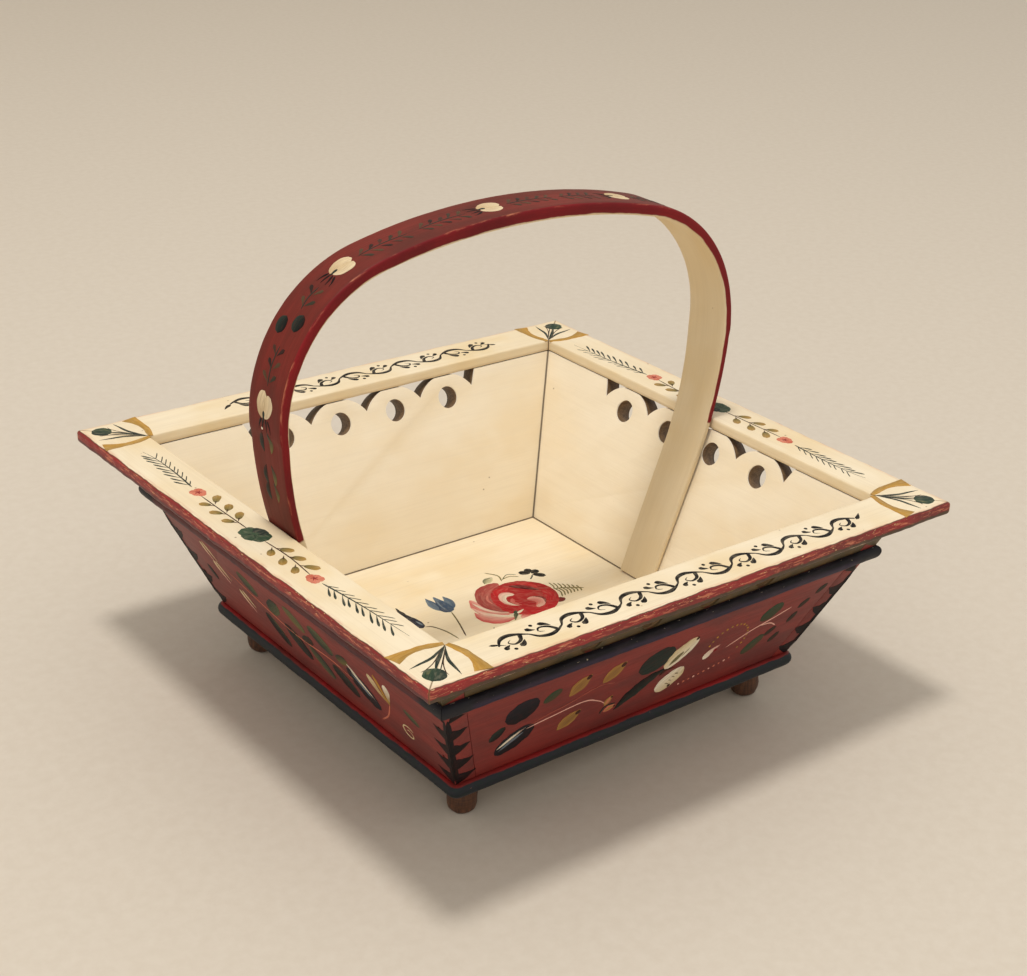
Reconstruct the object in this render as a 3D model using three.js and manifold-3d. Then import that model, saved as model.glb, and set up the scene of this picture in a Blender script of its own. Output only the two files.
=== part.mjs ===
// Splay-sided wooden egg basket with a pierced upper edge, a flat mitred rim, a bent-wood handle and four
// turned feet. Millimetres, +Z up, +X along the front. The origin is the centre of the footprint on the
// surface that the feet stand on.
import * as THREE from 'three';
import { mergeVertices } from 'three/addons/utils/BufferGeometryUtils.js';
import Module from 'manifold-3d';

const wasm = await Module();
wasm.setup();

// ---------------------------------------------------------------- driving dimensions
const GAP = 0.3; // clearance kept between two pieces that touch

const FOOT_HEIGHT = 18.5; // floor to the underside of the bottom board
const FOOT_RADIUS = 7.2; // at the belly of the foot
const FOOT_PROFILE = [ // turned outline: share of the foot's radius, height
  [0, 0], [0.5, 0], [0.78, 1.2], [0.95, 3.6], [1, 7], [0.97, 11], [0.88, 15],
];
const FOOT_NECK = 0.86; // share of the radius where the foot meets the board
const FOOT_INSET = 87.5; // foot centre from the basket's centre, in X and in Y
const TENON_RADIUS = 4;
const TENON_LENGTH = 4;

const BASE_HALF = 104.3; // half the side of the bottom board
const BASE_THICK = 7;
const BASE_ROUND = 2.5; // rounding of its edge
const BASE_CORNER = 3; // plan radius of its corners

const WALL_FOOT_HALF = 101.3; // outer face of a wall board where it stands on the bottom board
const WALL_HEIGHT = 82.5; // vertical
const WALL_THICK = 10;
const SPLAY = THREE.MathUtils.degToRad(22.5); // lean of the walls from the vertical

const LOBES = 4; // round-headed lobes along each wall
const LOBE_PITCH = 34.3;
const LOBE_RADIUS = 20;
const LOBE_FLAT = 5.5; // half width of the lobe that meets the rim
const NOTCH_LEAN = 3.9; // how far the end notches lean outwards
const HOLE_RADIUS = 6;
const HOLE_DROP = 11.9; // hole centre below the rim, measured down the board

const RIM_HALF = 150; // half the side of the rim
const RIM_WIDTH = 25.5;
const RIM_THICK = 6;

const BEAD_CENTRE = 63.9; // middle of the bead above the wall's foot, measured up the board
const BEAD_HALF_HEIGHT = 3.9;
const BEAD_PROUD = 3.4;

const HANDLE_WIDTH = 27;
const HANDLE_TOP = 243; // outer face at the crown
const HANDLE_HALF_SPAN = 131; // outer face at the widest point
const LEG_ANGLE = THREE.MathUtils.degToRad(21.9); // lean of a handle leg inside the basket
const CROWN_RADIUS = 317;
const SHOULDER_RADIUS = 71;
const HANDLE_THICK_FOOT = 1.8; // the strip is thinned towards the ends of its legs
const HANDLE_THICK_CROWN = 6.2;
const HANDLE_TAPER = 0.6; // exponent of the thickening from the foot to the crown
const HANDLE_EDGE = 0.8; // easing of the strip's edges, measured across the strip
const HANDLE_EDGE_DEPTH = 0.64; // and measured through its thickness

const NAIL_RADIUS = 0.6;
const NAIL_HEAD_RADIUS = 1.2;
const NAIL_HEAD = 0.7;
const NAIL_POINT = 2.5; // length of the tapered point
const NAIL_SINK = 0.15; // the heads are punched just below the surface

// ---------------------------------------------------------------- worked-out dimensions
const FLOOR_Z = FOOT_HEIGHT + BASE_THICK;
const WALL_TOP_Z = FLOOR_Z + WALL_HEIGHT;
const RIM_TOP_Z = WALL_TOP_Z + RIM_THICK;
const LEAN = Math.tan(SPLAY);
const WALL_ACROSS = WALL_THICK / Math.cos(SPLAY); // board thickness measured horizontally
const wallOuter = z => WALL_FOOT_HALF + (z - FLOOR_Z) * LEAN;
const wallInner = z => wallOuter(z) - WALL_ACROSS;
const SIDES = ['front', 'right', 'back', 'left']; // each a quarter turn from the one before
const LOBE_DROP = Math.sqrt(LOBE_RADIUS ** 2 - LOBE_FLAT ** 2); // lobe centre below the rim
const lobeX = i => (i - (LOBES - 1) / 2) * LOBE_PITCH;
const SHOULDER_X = HANDLE_HALF_SPAN - SHOULDER_RADIUS;
const CROWN_ANGLE = Math.asin(SHOULDER_X / (CROWN_RADIUS - SHOULDER_RADIUS)); // half the crown's arc
const WIDEST_Z = HANDLE_TOP - CROWN_RADIUS + (CROWN_RADIUS - SHOULDER_RADIUS) * Math.cos(CROWN_ANGLE);

// ---------------------------------------------------------------- finishes
const finish = (color, roughness, metalness = 0) =>
  new THREE.MeshStandardMaterial({ color, roughness, metalness });
const CREAM = finish(0xead9b4, 0.6);
const RED = finish(0x7d221f, 0.55);
const BLUE_BLACK = finish(0x2c2a38, 0.5);
const BASE_PAINT = finish(0x343d3c, 0.55);
const BROWN_WOOD = finish(0x553420, 0.65);
const IRON = finish(0x4a4540, 0.55, 0.9);

// ---------------------------------------------------------------- solids
// A closed mesh as a manifold: only the positions are kept, with shared vertices merged.
function solid(geometry) {
  const bare = geometry.clone();
  bare.deleteAttribute('normal');
  bare.deleteAttribute('uv');
  const merged = mergeVertices(bare, 1e-4);
  return new wasm.Manifold(new wasm.Mesh({
    numProp: 3,
    vertProperties: new Float32Array(merged.attributes.position.array),
    triVerts: new Uint32Array(merged.index.array),
  }));
}

function geometryOf(manifold) {
  const mesh = manifold.getMesh();
  const geometry = new THREE.BufferGeometry();
  geometry.setAttribute('position', new THREE.BufferAttribute(new Float32Array(mesh.vertProperties), 3));
  geometry.setIndex(new THREE.BufferAttribute(new Uint32Array(mesh.triVerts), 1));
  return geometry;
}

function cut(geometry, cutters) {
  const whole = cutters.reduce((body, cutter) => body.subtract(solid(cutter)), solid(geometry));
  const result = geometryOf(whole);
  result.computeVertexNormals();
  return result;
}

// A quarter turn for each side, so that every side is drawn as the front one is.
const turned = (geometry, side) => geometry.rotateZ(side * Math.PI / 2);

// ---------------------------------------------------------------- wall boards
// The frame of the front wall: X along it, Y up its slope from the top inner edge, Z out of its outer face.
const FRONT_WALL = new THREE.Matrix4().makeBasis(
  new THREE.Vector3(1, 0, 0),
  new THREE.Vector3(0, -Math.sin(SPLAY), Math.cos(SPLAY)),
  new THREE.Vector3(0, -Math.cos(SPLAY), -Math.sin(SPLAY)),
).setPosition(0, -wallInner(WALL_TOP_Z), WALL_TOP_Z);

// Front and back boards stand between the side boards, whose end grain shows at the corners.
function wallBlank(betweenSides) {
  const box = new THREE.BoxGeometry(2, 2, 2);
  const position = box.attributes.position;
  for (let i = 0; i < position.count; i++) {
    const z = position.getZ(i) > 0 ? WALL_TOP_Z - GAP : FLOOR_Z + GAP;
    const halfLength = betweenSides ? wallInner(z) - GAP : wallOuter(z);
    const y = position.getY(i) > 0 ? wallInner(z) : wallOuter(z);
    position.setXYZ(i, Math.sign(position.getX(i)) * halfLength, -y, z);
  }
  return box;
}

// Everything above the row of lobes, as one cutter: it leaves the five notches under the rim.
function notchCutter() {
  const cuspAngle = Math.asin(Math.sqrt(1 - (LOBE_PITCH / 2 / LOBE_RADIUS) ** 2));
  const end = lobeX(LOBES - 1) + LOBE_PITCH / 2;
  const clear = 2;
  const cuspDrop = LOBE_DROP - LOBE_RADIUS * Math.sin(cuspAngle);
  const topX = end + NOTCH_LEAN * (1 + clear / cuspDrop);
  const shape = new THREE.Shape();
  shape.moveTo(-topX, clear);
  shape.lineTo(-end, -cuspDrop);
  for (let i = 0; i < LOBES; i++) {
    shape.absarc(lobeX(i), -LOBE_DROP, LOBE_RADIUS, Math.PI - cuspAngle, cuspAngle, true);
  }
  shape.lineTo(topX, clear);
  shape.closePath();
  return boardCutter(shape, 8);
}

function holeCutter(i) {
  const shape = new THREE.Shape();
  shape.absarc(lobeX(i), -HOLE_DROP, HOLE_RADIUS, 0, 2 * Math.PI, false);
  return boardCutter(shape, 16);
}

// A shape cut square through the board.
function boardCutter(shape, curveSegments) {
  const clear = 3;
  const depth = WALL_THICK + 2 * clear;
  const cutter = new THREE.ExtrudeGeometry(shape, { depth, bevelEnabled: false, curveSegments });
  return cutter.translate(0, 0, -clear).applyMatrix4(FRONT_WALL);
}

// ---------------------------------------------------------------- mitred mouldings
// A section in the YZ plane run along the front, its ends cut on the vertical mitre planes |x| = |y|.
function mitred(points) {
  const shape = new THREE.Shape(points.map(([y, z]) => new THREE.Vector2(y, z)));
  const bar = new THREE.ExtrudeGeometry(shape, { depth: 2, bevelEnabled: false });
  const position = bar.attributes.position;
  for (let i = 0; i < position.count; i++) {
    const [y, z, end] = [position.getX(i), position.getY(i), position.getZ(i) > 1 ? 1 : -1];
    position.setXYZ(i, end * (Math.abs(y) - GAP / 2), y, z);
  }
  return bar;
}

function rimBoard() {
  const inner = -(RIM_HALF - RIM_WIDTH);
  return mitred([[-RIM_HALF, WALL_TOP_Z], [inner, WALL_TOP_Z], [inner, RIM_TOP_Z], [-RIM_HALF, RIM_TOP_Z]]);
}

// A flattened half-round, flat side to the wall.
function beadBoard() {
  const steps = 10;
  const centreZ = FLOOR_Z + BEAD_CENTRE * Math.cos(SPLAY);
  const points = [];
  for (let i = 0; i <= steps; i++) {
    const angle = -Math.PI / 2 + Math.PI * i / steps;
    const up = BEAD_HALF_HEIGHT * Math.sin(angle);
    const out = GAP + BEAD_PROUD * Math.cos(angle);
    const z = centreZ + up * Math.cos(SPLAY) - out * Math.sin(SPLAY);
    const wallY = -wallOuter(centreZ) - up * Math.sin(SPLAY);
    points.push([wallY - out * Math.cos(SPLAY), z]);
  }
  return mitred(points.reverse());
}

// ---------------------------------------------------------------- bottom board and feet
function roundedSquare(half, radius) {
  const shape = new THREE.Shape();
  const c = half - radius;
  shape.absarc(c, c, radius, 0, Math.PI / 2, false);
  shape.absarc(-c, c, radius, Math.PI / 2, Math.PI, false);
  shape.absarc(-c, -c, radius, Math.PI, 1.5 * Math.PI, false);
  shape.absarc(c, -c, radius, 1.5 * Math.PI, 2 * Math.PI, false);
  return shape;
}

function bottomBoard() {
  const shape = roundedSquare(BASE_HALF - BASE_ROUND, BASE_CORNER);
  const board = new THREE.ExtrudeGeometry(shape, {
    depth: BASE_THICK - 2 * BASE_ROUND,
    bevelSize: BASE_ROUND,
    bevelThickness: BASE_ROUND,
    bevelSegments: 4,
    curveSegments: 3,
  });
  return board.translate(0, 0, FOOT_HEIGHT + BASE_ROUND);
}

function lathe(points, segments) {
  const profile = points.map(([radius, z]) => new THREE.Vector2(radius, z));
  return new THREE.LatheGeometry(profile, segments).rotateX(Math.PI / 2);
}

// A turned foot with a round tenon that plugs into the bottom board.
function footSolid() {
  const top = FOOT_HEIGHT - GAP;
  return lathe([
    ...FOOT_PROFILE.map(([share, z]) => [share * FOOT_RADIUS, z]),
    [FOOT_NECK * FOOT_RADIUS, top], [TENON_RADIUS, top], [TENON_RADIUS, FOOT_HEIGHT + TENON_LENGTH],
    [0, FOOT_HEIGHT + TENON_LENGTH],
  ], 20);
}

const FOOT_PLACES = {
  foot_front_left: [-1, -1], foot_front_right: [1, -1], foot_back_right: [1, 1], foot_back_left: [-1, 1],
};

function tenonHole([sx, sy]) {
  const radius = TENON_RADIUS + GAP;
  const hole = new THREE.CylinderGeometry(radius, radius, 2 * (TENON_LENGTH + GAP), 20).rotateX(Math.PI / 2);
  return hole.translate(sx * FOOT_INSET, sy * FOOT_INSET, FOOT_HEIGHT);
}

// ---------------------------------------------------------------- handle
// The outer face of the right half, from the leg's foot on the floor up to the crown: a straight leg, a slow
// side arc up to the widest point, a tight shoulder and a flat crown, each tangent to the next.
function handleHalf() {
  const footZ = FLOOR_Z + GAP;
  const footX = wallInner(footZ) - GAP;
  const rise = WIDEST_Z - footZ;
  const reach = HANDLE_HALF_SPAN - footX;
  const sideRadius = (rise * Math.tan(LEG_ANGLE) - reach) / (1 / Math.cos(LEG_ANGLE) - 1);
  const path = new THREE.Path();
  path.moveTo(footX, footZ);
  path.lineTo(HANDLE_HALF_SPAN - sideRadius * (1 - Math.cos(LEG_ANGLE)),
    WIDEST_Z - sideRadius * Math.sin(LEG_ANGLE));
  path.absarc(HANDLE_HALF_SPAN - sideRadius, WIDEST_Z, sideRadius, -LEG_ANGLE, 0, false);
  path.absarc(SHOULDER_X, WIDEST_Z, SHOULDER_RADIUS, 0, Math.PI / 2 - CROWN_ANGLE, false);
  path.absarc(0, HANDLE_TOP - CROWN_RADIUS, CROWN_RADIUS, Math.PI / 2 - CROWN_ANGLE, Math.PI / 2, false);
  return path;
}

const handleThickness = s => HANDLE_THICK_FOOT + (HANDLE_THICK_CROWN - HANDLE_THICK_FOOT) * s ** HANDLE_TAPER;

function handleSolid() {
  const half = handleHalf();
  const steps = 30;
  const outer = [];
  const inner = [];
  for (let i = 0; i <= steps; i++) {
    const s = i / steps;
    const point = half.getPointAt(s);
    const along = half.getTangentAt(s);
    const inward = new THREE.Vector2(-along.y, along.x);
    const face = point.clone().addScaledVector(inward, handleThickness(s));
    outer.push(point);
    inner.push(i === 0 ? new THREE.Vector2(point.x - handleThickness(0) / Math.cos(LEG_ANGLE), point.y) : face);
  }
  const mirror = points => points.slice(0, -1).reverse().map(p => new THREE.Vector2(-p.x, p.y));
  const outline = [...outer, ...mirror(outer), ...[...inner, ...mirror(inner)].reverse()];
  const depth = HANDLE_WIDTH - 2 * HANDLE_EDGE;
  const strip = new THREE.ExtrudeGeometry(new THREE.Shape(outline), {
    depth, bevelThickness: HANDLE_EDGE, bevelSize: HANDLE_EDGE_DEPTH, bevelOffset: -HANDLE_EDGE_DEPTH,
    bevelSegments: 1,
  });
  return strip.rotateX(Math.PI / 2).translate(0, depth / 2, 0);
}

// ---------------------------------------------------------------- nails
// A nail points down its own -Z, with the top of its head at the origin.
function nailSolid(length) {
  return lathe([
    [0, -length], [NAIL_RADIUS, NAIL_POINT - length], [NAIL_RADIUS, -NAIL_HEAD],
    [NAIL_HEAD_RADIUS, -NAIL_HEAD], [NAIL_HEAD_RADIUS, 0], [0, 0],
  ], 8);
}

function nailHole(length) {
  const mouth = 3;
  return lathe([
    [0, -length - GAP], [NAIL_RADIUS + GAP, -length - GAP], [NAIL_RADIUS + GAP, -NAIL_HEAD - GAP],
    [NAIL_HEAD_RADIUS + GAP, -NAIL_HEAD - GAP], [NAIL_HEAD_RADIUS + GAP, mouth], [0, mouth],
  ], 8);
}

// Where each nail enters, the way it is driven and its length, for the front or for the right side.
const NAIL_AWAY = new THREE.Vector3(0, 0, -1);
const WALL_INWARD = new THREE.Vector3(0, Math.cos(SPLAY), Math.sin(SPLAY));
const RIM_NAIL_Y = -128.5;
const RIM_NAIL_X = 89;
const BASE_NAIL_Y = -97;
const BASE_NAIL_X = 45;
const BEAD_NAIL_X = 60;
const BOARD_NAIL_LENGTH = 15; // rim, bottom board and handle to rim
const CORNER_NAIL_LENGTH = 18;
const BEAD_NAIL_LENGTH = 9.5;
const LEG_NAIL_LENGTH = 9;
const LEG_NAIL_HEIGHTS = [46, 76]; // above the surface that the feet stand on
const CORNER_NAIL_HEIGHTS = [44, 66];

const half = handleHalf();

// The X of the right leg's inner face at height z.
function legInnerFace(z) {
  let [low, high] = [0, 0.5];
  while (high - low > 1e-5) {
    const middle = (low + high) / 2;
    if (half.getPointAt(middle).y < z) low = middle;
    else high = middle;
  }
  return half.getPointAt(low).x - handleThickness(low) / half.getTangentAt(low).y;
}

function nailList() {
  const nails = [];
  const add = (name, at, along, length, pieces, side = 0) => {
    const direction = new THREE.Vector3(...along).normalize();
    const place = new THREE.Vector3(...at).addScaledVector(direction, NAIL_SINK);
    const matrix = new THREE.Matrix4().makeRotationZ(side * Math.PI / 2);
    matrix.multiply(new THREE.Matrix4().makeTranslation(place.x, place.y, place.z));
    const turn = new THREE.Quaternion().setFromUnitVectors(NAIL_AWAY, direction);
    matrix.multiply(new THREE.Matrix4().makeRotationFromQuaternion(turn));
    nails.push({ name, matrix, length, pieces });
  };
  const beadZ = FLOOR_Z + BEAD_CENTRE * Math.cos(SPLAY);
  SIDES.forEach((side, turn) => {
    for (const [end, sign] of [['a', -1], ['b', 1]]) {
      add(`rim_nail_${side}_${end}`, [sign * RIM_NAIL_X, RIM_NAIL_Y, RIM_TOP_Z], [0, 0, -1], BOARD_NAIL_LENGTH,
        [`rim_${side}`, `wall_${side}`], turn);
      add(`base_nail_${side}_${end}`, [sign * BASE_NAIL_X, BASE_NAIL_Y, FOOT_HEIGHT], [0, 0, 1], BOARD_NAIL_LENGTH,
        ['bottom_board', `wall_${side}`], turn);
      const out = GAP + BEAD_PROUD;
      add(`bead_nail_${side}_${end}`,
        [sign * BEAD_NAIL_X, -wallOuter(beadZ) - out * Math.cos(SPLAY), beadZ - out * Math.sin(SPLAY)],
        WALL_INWARD.toArray(), BEAD_NAIL_LENGTH, [`bead_${side}`, `wall_${side}`], turn);
    }
  });
  for (const [side, sx] of [['left', -1], ['right', 1]]) {
    for (const [other, sy] of [['front', -1], ['back', 1]]) {
      CORNER_NAIL_HEIGHTS.forEach((z, i) => {
        const y = sy * (wallInner(z) + wallOuter(z)) / 2;
        add(`corner_nail_${other}_${side}_${'ab'[i]}`, [sx * wallOuter(z), y, z], [-sx, 0, 0],
          CORNER_NAIL_LENGTH,
          [`wall_${side}`, `wall_${other}`]);
      });
    }
    LEG_NAIL_HEIGHTS.forEach((z, i) => {
      add(`handle_nail_${side}_${'ab'[i]}`, [sx * legInnerFace(z), 0, z],
        [sx * Math.cos(LEG_ANGLE), 0, -Math.sin(LEG_ANGLE)], LEG_NAIL_LENGTH, ['handle', `wall_${side}`]);
    });
    const rimMiddle = WALL_TOP_Z + RIM_THICK / 2;
    add(`handle_nail_${side}_c`, [sx * legInnerFace(rimMiddle), 0, rimMiddle], [sx, 0, 0],
      BOARD_NAIL_LENGTH, ['handle', `rim_${side}`]);
  }
  return nails;
}

// ---------------------------------------------------------------- assembly
const group = new THREE.Group();
const nails = nailList();
const nailHolesIn = piece => nails.filter(nail => nail.pieces.includes(piece))
  .map(nail => nailHole(nail.length).applyMatrix4(nail.matrix));

function addPiece(name, geometry, material, cutters = []) {
  const all = [...cutters, ...nailHolesIn(name)];
  const mesh = new THREE.Mesh(all.length ? cut(geometry, all) : geometry, material);
  mesh.name = name;
  group.add(mesh);
}

addPiece('bottom_board', bottomBoard(), BASE_PAINT, Object.values(FOOT_PLACES).map(tenonHole));
for (const [name, [sx, sy]] of Object.entries(FOOT_PLACES)) {
  addPiece(name, footSolid().translate(sx * FOOT_INSET, sy * FOOT_INSET, 0), BROWN_WOOD);
}
SIDES.forEach((side, turn) => {
  const betweenSides = side === 'front' || side === 'back';
  const piercing = [notchCutter(), ...[...Array(LOBES).keys()].map(holeCutter)];
  addPiece(`wall_${side}`, turned(wallBlank(betweenSides), turn), RED, piercing.map(c => turned(c, turn)));
  addPiece(`rim_${side}`, turned(rimBoard(), turn), CREAM);
  addPiece(`bead_${side}`, turned(beadBoard(), turn), BLUE_BLACK);
});
addPiece('handle', handleSolid(), RED);
for (const nail of nails) {
  const mesh = new THREE.Mesh(nailSolid(nail.length), IRON);
  mesh.name = nail.name;
  mesh.applyMatrix4(nail.matrix);
  group.add(mesh);
}

export default group;
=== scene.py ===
import math
import random

import bmesh
import bpy
import numpy as np
from mathutils import Matrix, Vector, noise


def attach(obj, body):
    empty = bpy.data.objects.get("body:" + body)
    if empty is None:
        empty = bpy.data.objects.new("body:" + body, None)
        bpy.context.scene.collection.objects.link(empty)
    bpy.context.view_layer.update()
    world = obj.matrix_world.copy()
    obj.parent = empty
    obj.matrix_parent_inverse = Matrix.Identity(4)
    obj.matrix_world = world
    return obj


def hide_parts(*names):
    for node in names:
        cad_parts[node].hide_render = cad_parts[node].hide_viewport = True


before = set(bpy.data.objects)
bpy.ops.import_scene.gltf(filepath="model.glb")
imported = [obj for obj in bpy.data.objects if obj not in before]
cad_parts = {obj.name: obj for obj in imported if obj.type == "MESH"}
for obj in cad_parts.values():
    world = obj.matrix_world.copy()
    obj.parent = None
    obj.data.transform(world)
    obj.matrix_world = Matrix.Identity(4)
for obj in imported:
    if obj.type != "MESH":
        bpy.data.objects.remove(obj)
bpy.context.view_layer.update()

# ------------------------------------------------------------------ sizes, in millimetres
MM = 0.001
FLOOR_Z, WALL_TOP_Z, RIM_TOP_Z = 25.5, 108.0, 114.0
RIM_HALF, RIM_WIDTH = 150.0, 25.5
SPLAY = math.radians(22.5)
LEAN, UP_COS, UP_SIN = math.tan(SPLAY), math.cos(SPLAY), math.sin(SPLAY)
WALL_FOOT, WALL_THICK = 101.3, 10.0
BEAD_CENTRE, BEAD_HALF, BEAD_PROUD = 63.9, 3.9, 3.4
BASE_HALF, BASE_BOTTOM, BASE_ROUND = 104.3, 18.5, 2.6
FOOT_INSET = 87.5
HANDLE_WIDTH, HANDLE_TOP, HANDLE_SPAN = 27.0, 243.0, 131.0
CROWN_R, SHOULDER_R, LEG_LEAN = 317.0, 71.0, math.radians(21.9)
BURIED = 226.5  # along the handle from its crown: past this it is inside the basket
SIDES = ("front", "right", "back", "left")

rng = random.Random(7)


def wall_out(z):
    return WALL_FOOT + (z - FLOOR_Z) * LEAN


def turn(points, side):
    """Turns points drawn for the front to side 0 front, 1 right, 2 back or 3 left."""
    c, s = ((1, 0), (0, 1), (-1, 0), (0, -1))[side]
    p = np.asarray(points, float)
    out = p.copy()
    out[..., 0] = c * p[..., 0] - s * p[..., 1]
    out[..., 1] = s * p[..., 0] + c * p[..., 1]
    return out


# ------------------------------------------------------------------ node graphs
def rgb(r, g, b):
    """A colour of 0 to 255 as the shader's linear values."""
    lin = [(c / 255 / 12.92) if c / 255 <= 0.04045 else ((c / 255 + 0.055) / 1.055) ** 2.4
           for c in (r, g, b)]
    return (*lin, 1.0)


class Graph:
    """The nodes of one material. Each method adds nodes and gives the socket that holds their result."""

    def __init__(self, name):
        self.mat = bpy.data.materials.new(name)
        self.mat.use_nodes = True
        self.tree = self.mat.node_tree
        self.tree.nodes.clear()
        out = self.node("OutputMaterial")
        self.bsdf = self.node("BsdfPrincipled")
        self.tree.links.new(self.bsdf.outputs[0], out.inputs[0])

    def node(self, kind):
        return self.tree.nodes.new("ShaderNode" + kind)

    def put(self, value, socket):
        if isinstance(value, bpy.types.NodeSocket):
            self.tree.links.new(value, socket)
        else:
            socket.default_value = value

    def math(self, op, *args):
        n = self.node("Math")
        n.operation = op
        for value, socket in zip(args, n.inputs):
            self.put(value, socket)
        return n.outputs[0]

    def times(self, a, b):
        return self.math("MULTIPLY", a, b)

    def scale_add(self, x, factor, added):
        return self.math("MULTIPLY_ADD", x, factor, added)

    def size(self, x):
        return self.math("ABSOLUTE", x)

    def mix(self, fac, a, b, share=None):
        """Colour a where fac is 0 and b where it is 1. share holds b back everywhere."""
        if share is not None:
            fac = self.times(fac, share)
        n = self.node("Mix")
        n.data_type = "RGBA"
        self.put(fac, n.inputs[0])
        self.put(a, n.inputs[6])
        self.put(b, n.inputs[7])
        return n.outputs[2]

    def scaled(self, vector, factors, at=(0, 0, 0)):
        n = self.node("VectorMath")
        n.operation = "MULTIPLY_ADD"
        self.put(vector, n.inputs[0])
        n.inputs[1].default_value, n.inputs[2].default_value = factors, at
        return n.outputs[0]

    def noise(self, vector, factors, detail=2.0, rough=0.5, at=(0, 0, 0)):
        n = self.node("TexNoise")
        self.put(self.scaled(vector, factors, at), n.inputs["Vector"])
        for key, value in (("Scale", 1.0), ("Detail", detail), ("Roughness", rough)):
            n.inputs[key].default_value = value
        return n.outputs["Fac"]

    def cells(self, vector, factors, at):
        n = self.node("TexVoronoi")
        self.put(self.scaled(vector, factors, at), n.inputs["Vector"])
        n.inputs["Scale"].default_value = 1.0
        return n.outputs["Distance"]

    def step(self, x, at, soft):
        """0 below at, 1 above it, over a soft edge. A negative soft turns it round."""
        n = self.node("MapRange")
        n.interpolation_type = "SMOOTHSTEP"
        self.put(x, n.inputs[0])
        lo, hi = at - abs(soft), at + abs(soft)
        n.inputs[1].default_value, n.inputs[2].default_value = lo, hi
        n.inputs[3].default_value, n.inputs[4].default_value = (0, 1) if soft > 0 else (1, 0)
        return n.outputs[0]

    def attribute(self, name, output="Vector"):
        n = self.node("Attribute")
        n.attribute_name = name
        return n.outputs[output]

    def split(self, vector):
        n = self.node("SeparateXYZ")
        self.put(vector, n.inputs[0])
        return n.outputs

    def bump(self, height, distance_mm, strength=1.0, under=None):
        n = self.node("Bump")
        n.inputs["Strength"].default_value = strength
        n.inputs["Distance"].default_value = distance_mm * MM
        self.put(height, n.inputs["Height"])
        if under is not None:
            self.put(under, n.inputs["Normal"])
        return n.outputs[0]

    def finish(self, colour, rough, normal=None, **constants):
        self.put(colour, self.bsdf.inputs["Base Color"])
        self.put(rough, self.bsdf.inputs["Roughness"])
        if normal is not None:
            self.put(normal, self.bsdf.inputs["Normal"])
        for key, value in constants.items():
            self.bsdf.inputs[key.replace("_", " ")].default_value = value
        return self.mat


CREAM, CREAM_LIGHT, CREAM_YELLOW = rgb(238, 222, 190), rgb(246, 234, 208), rgb(234, 210, 162)
CREAM_GREY = rgb(214, 196, 164)
RED, RED_DARK, RED_BRIGHT = rgb(140, 42, 34), rgb(104, 36, 32), rgb(160, 30, 32)
OLIVE_BROWN, RAW_WOOD = rgb(96, 74, 40), rgb(142, 114, 80)
BLUE_BLACK, VIOLET = rgb(17, 16, 21), rgb(44, 37, 58)
GREEN_BLACK = rgb(27, 39, 38)
OLIVE_STRIP = 68.0  # up the wall: above this an olive strip runs under the rim
PAINT_WRAP = 1.4  # how far the outer colour reaches round a cut edge
RED_START, CREAM_START = 2.9, 1.6  # up the rim's outer edge, and in from it


def brushed(g, board, along=0.03, across=1.6):
    """Fine marks of a brush drawn along the board, from 0 to 1."""
    fine = g.noise(board, (along, across, across), 3.0, 0.6)
    broad = g.noise(board, (along * 0.6, across * 0.25, across * 0.25), 2.0, 0.5, at=(40, 3, 9))
    return g.scale_add(fine, 0.6, g.times(broad, 0.4))


def cream_colour(g, board, marks, pale=0.0):
    """Old cream oil paint: uneven, yellowed in patches, with brush marks and a little grime.
    pale lightens it all towards near white."""
    patches = g.noise(board, (0.016, 0.022, 0.022), 3.0, 0.55, at=(11, 5, 2))
    colour = g.mix(g.step(patches, 0.56, 0.16), CREAM, CREAM_YELLOW, 0.75)
    light = g.noise(board, (0.03, 0.05, 0.05), 2.0, 0.5, at=(3, 8, 1))
    colour = g.mix(g.step(light, 0.55, 0.15), colour, CREAM_LIGHT, 0.6)
    colour = g.mix(g.step(marks, 0.46, -0.1), colour, CREAM_GREY, 0.22)
    colour = g.mix(pale, colour, rgb(255, 248, 232))
    specks = g.cells(board, (0.09, 0.11, 0.11), (0.3, 0.7, 0.1))
    rare = g.noise(board, (0.05, 0.05, 0.05), 1.0, at=(70, 1, 4))
    dots = g.times(g.step(specks, 0.05, -0.02), g.step(rare, 0.53, 0.02))
    return g.mix(dots, colour, rgb(120, 92, 60), 0.7)


def red_colour(g, board, marks, base=RED, dark=RED_DARK):
    """Thin red oil paint over a darker coat."""
    patches = g.noise(board, (0.02, 0.05, 0.05), 4.0, 0.6, at=(7, 2, 6))
    colour = g.mix(g.step(patches, 0.52, 0.18), base, dark)
    return g.mix(g.step(marks, 0.5, 0.12), colour, dark, 0.45)


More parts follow.
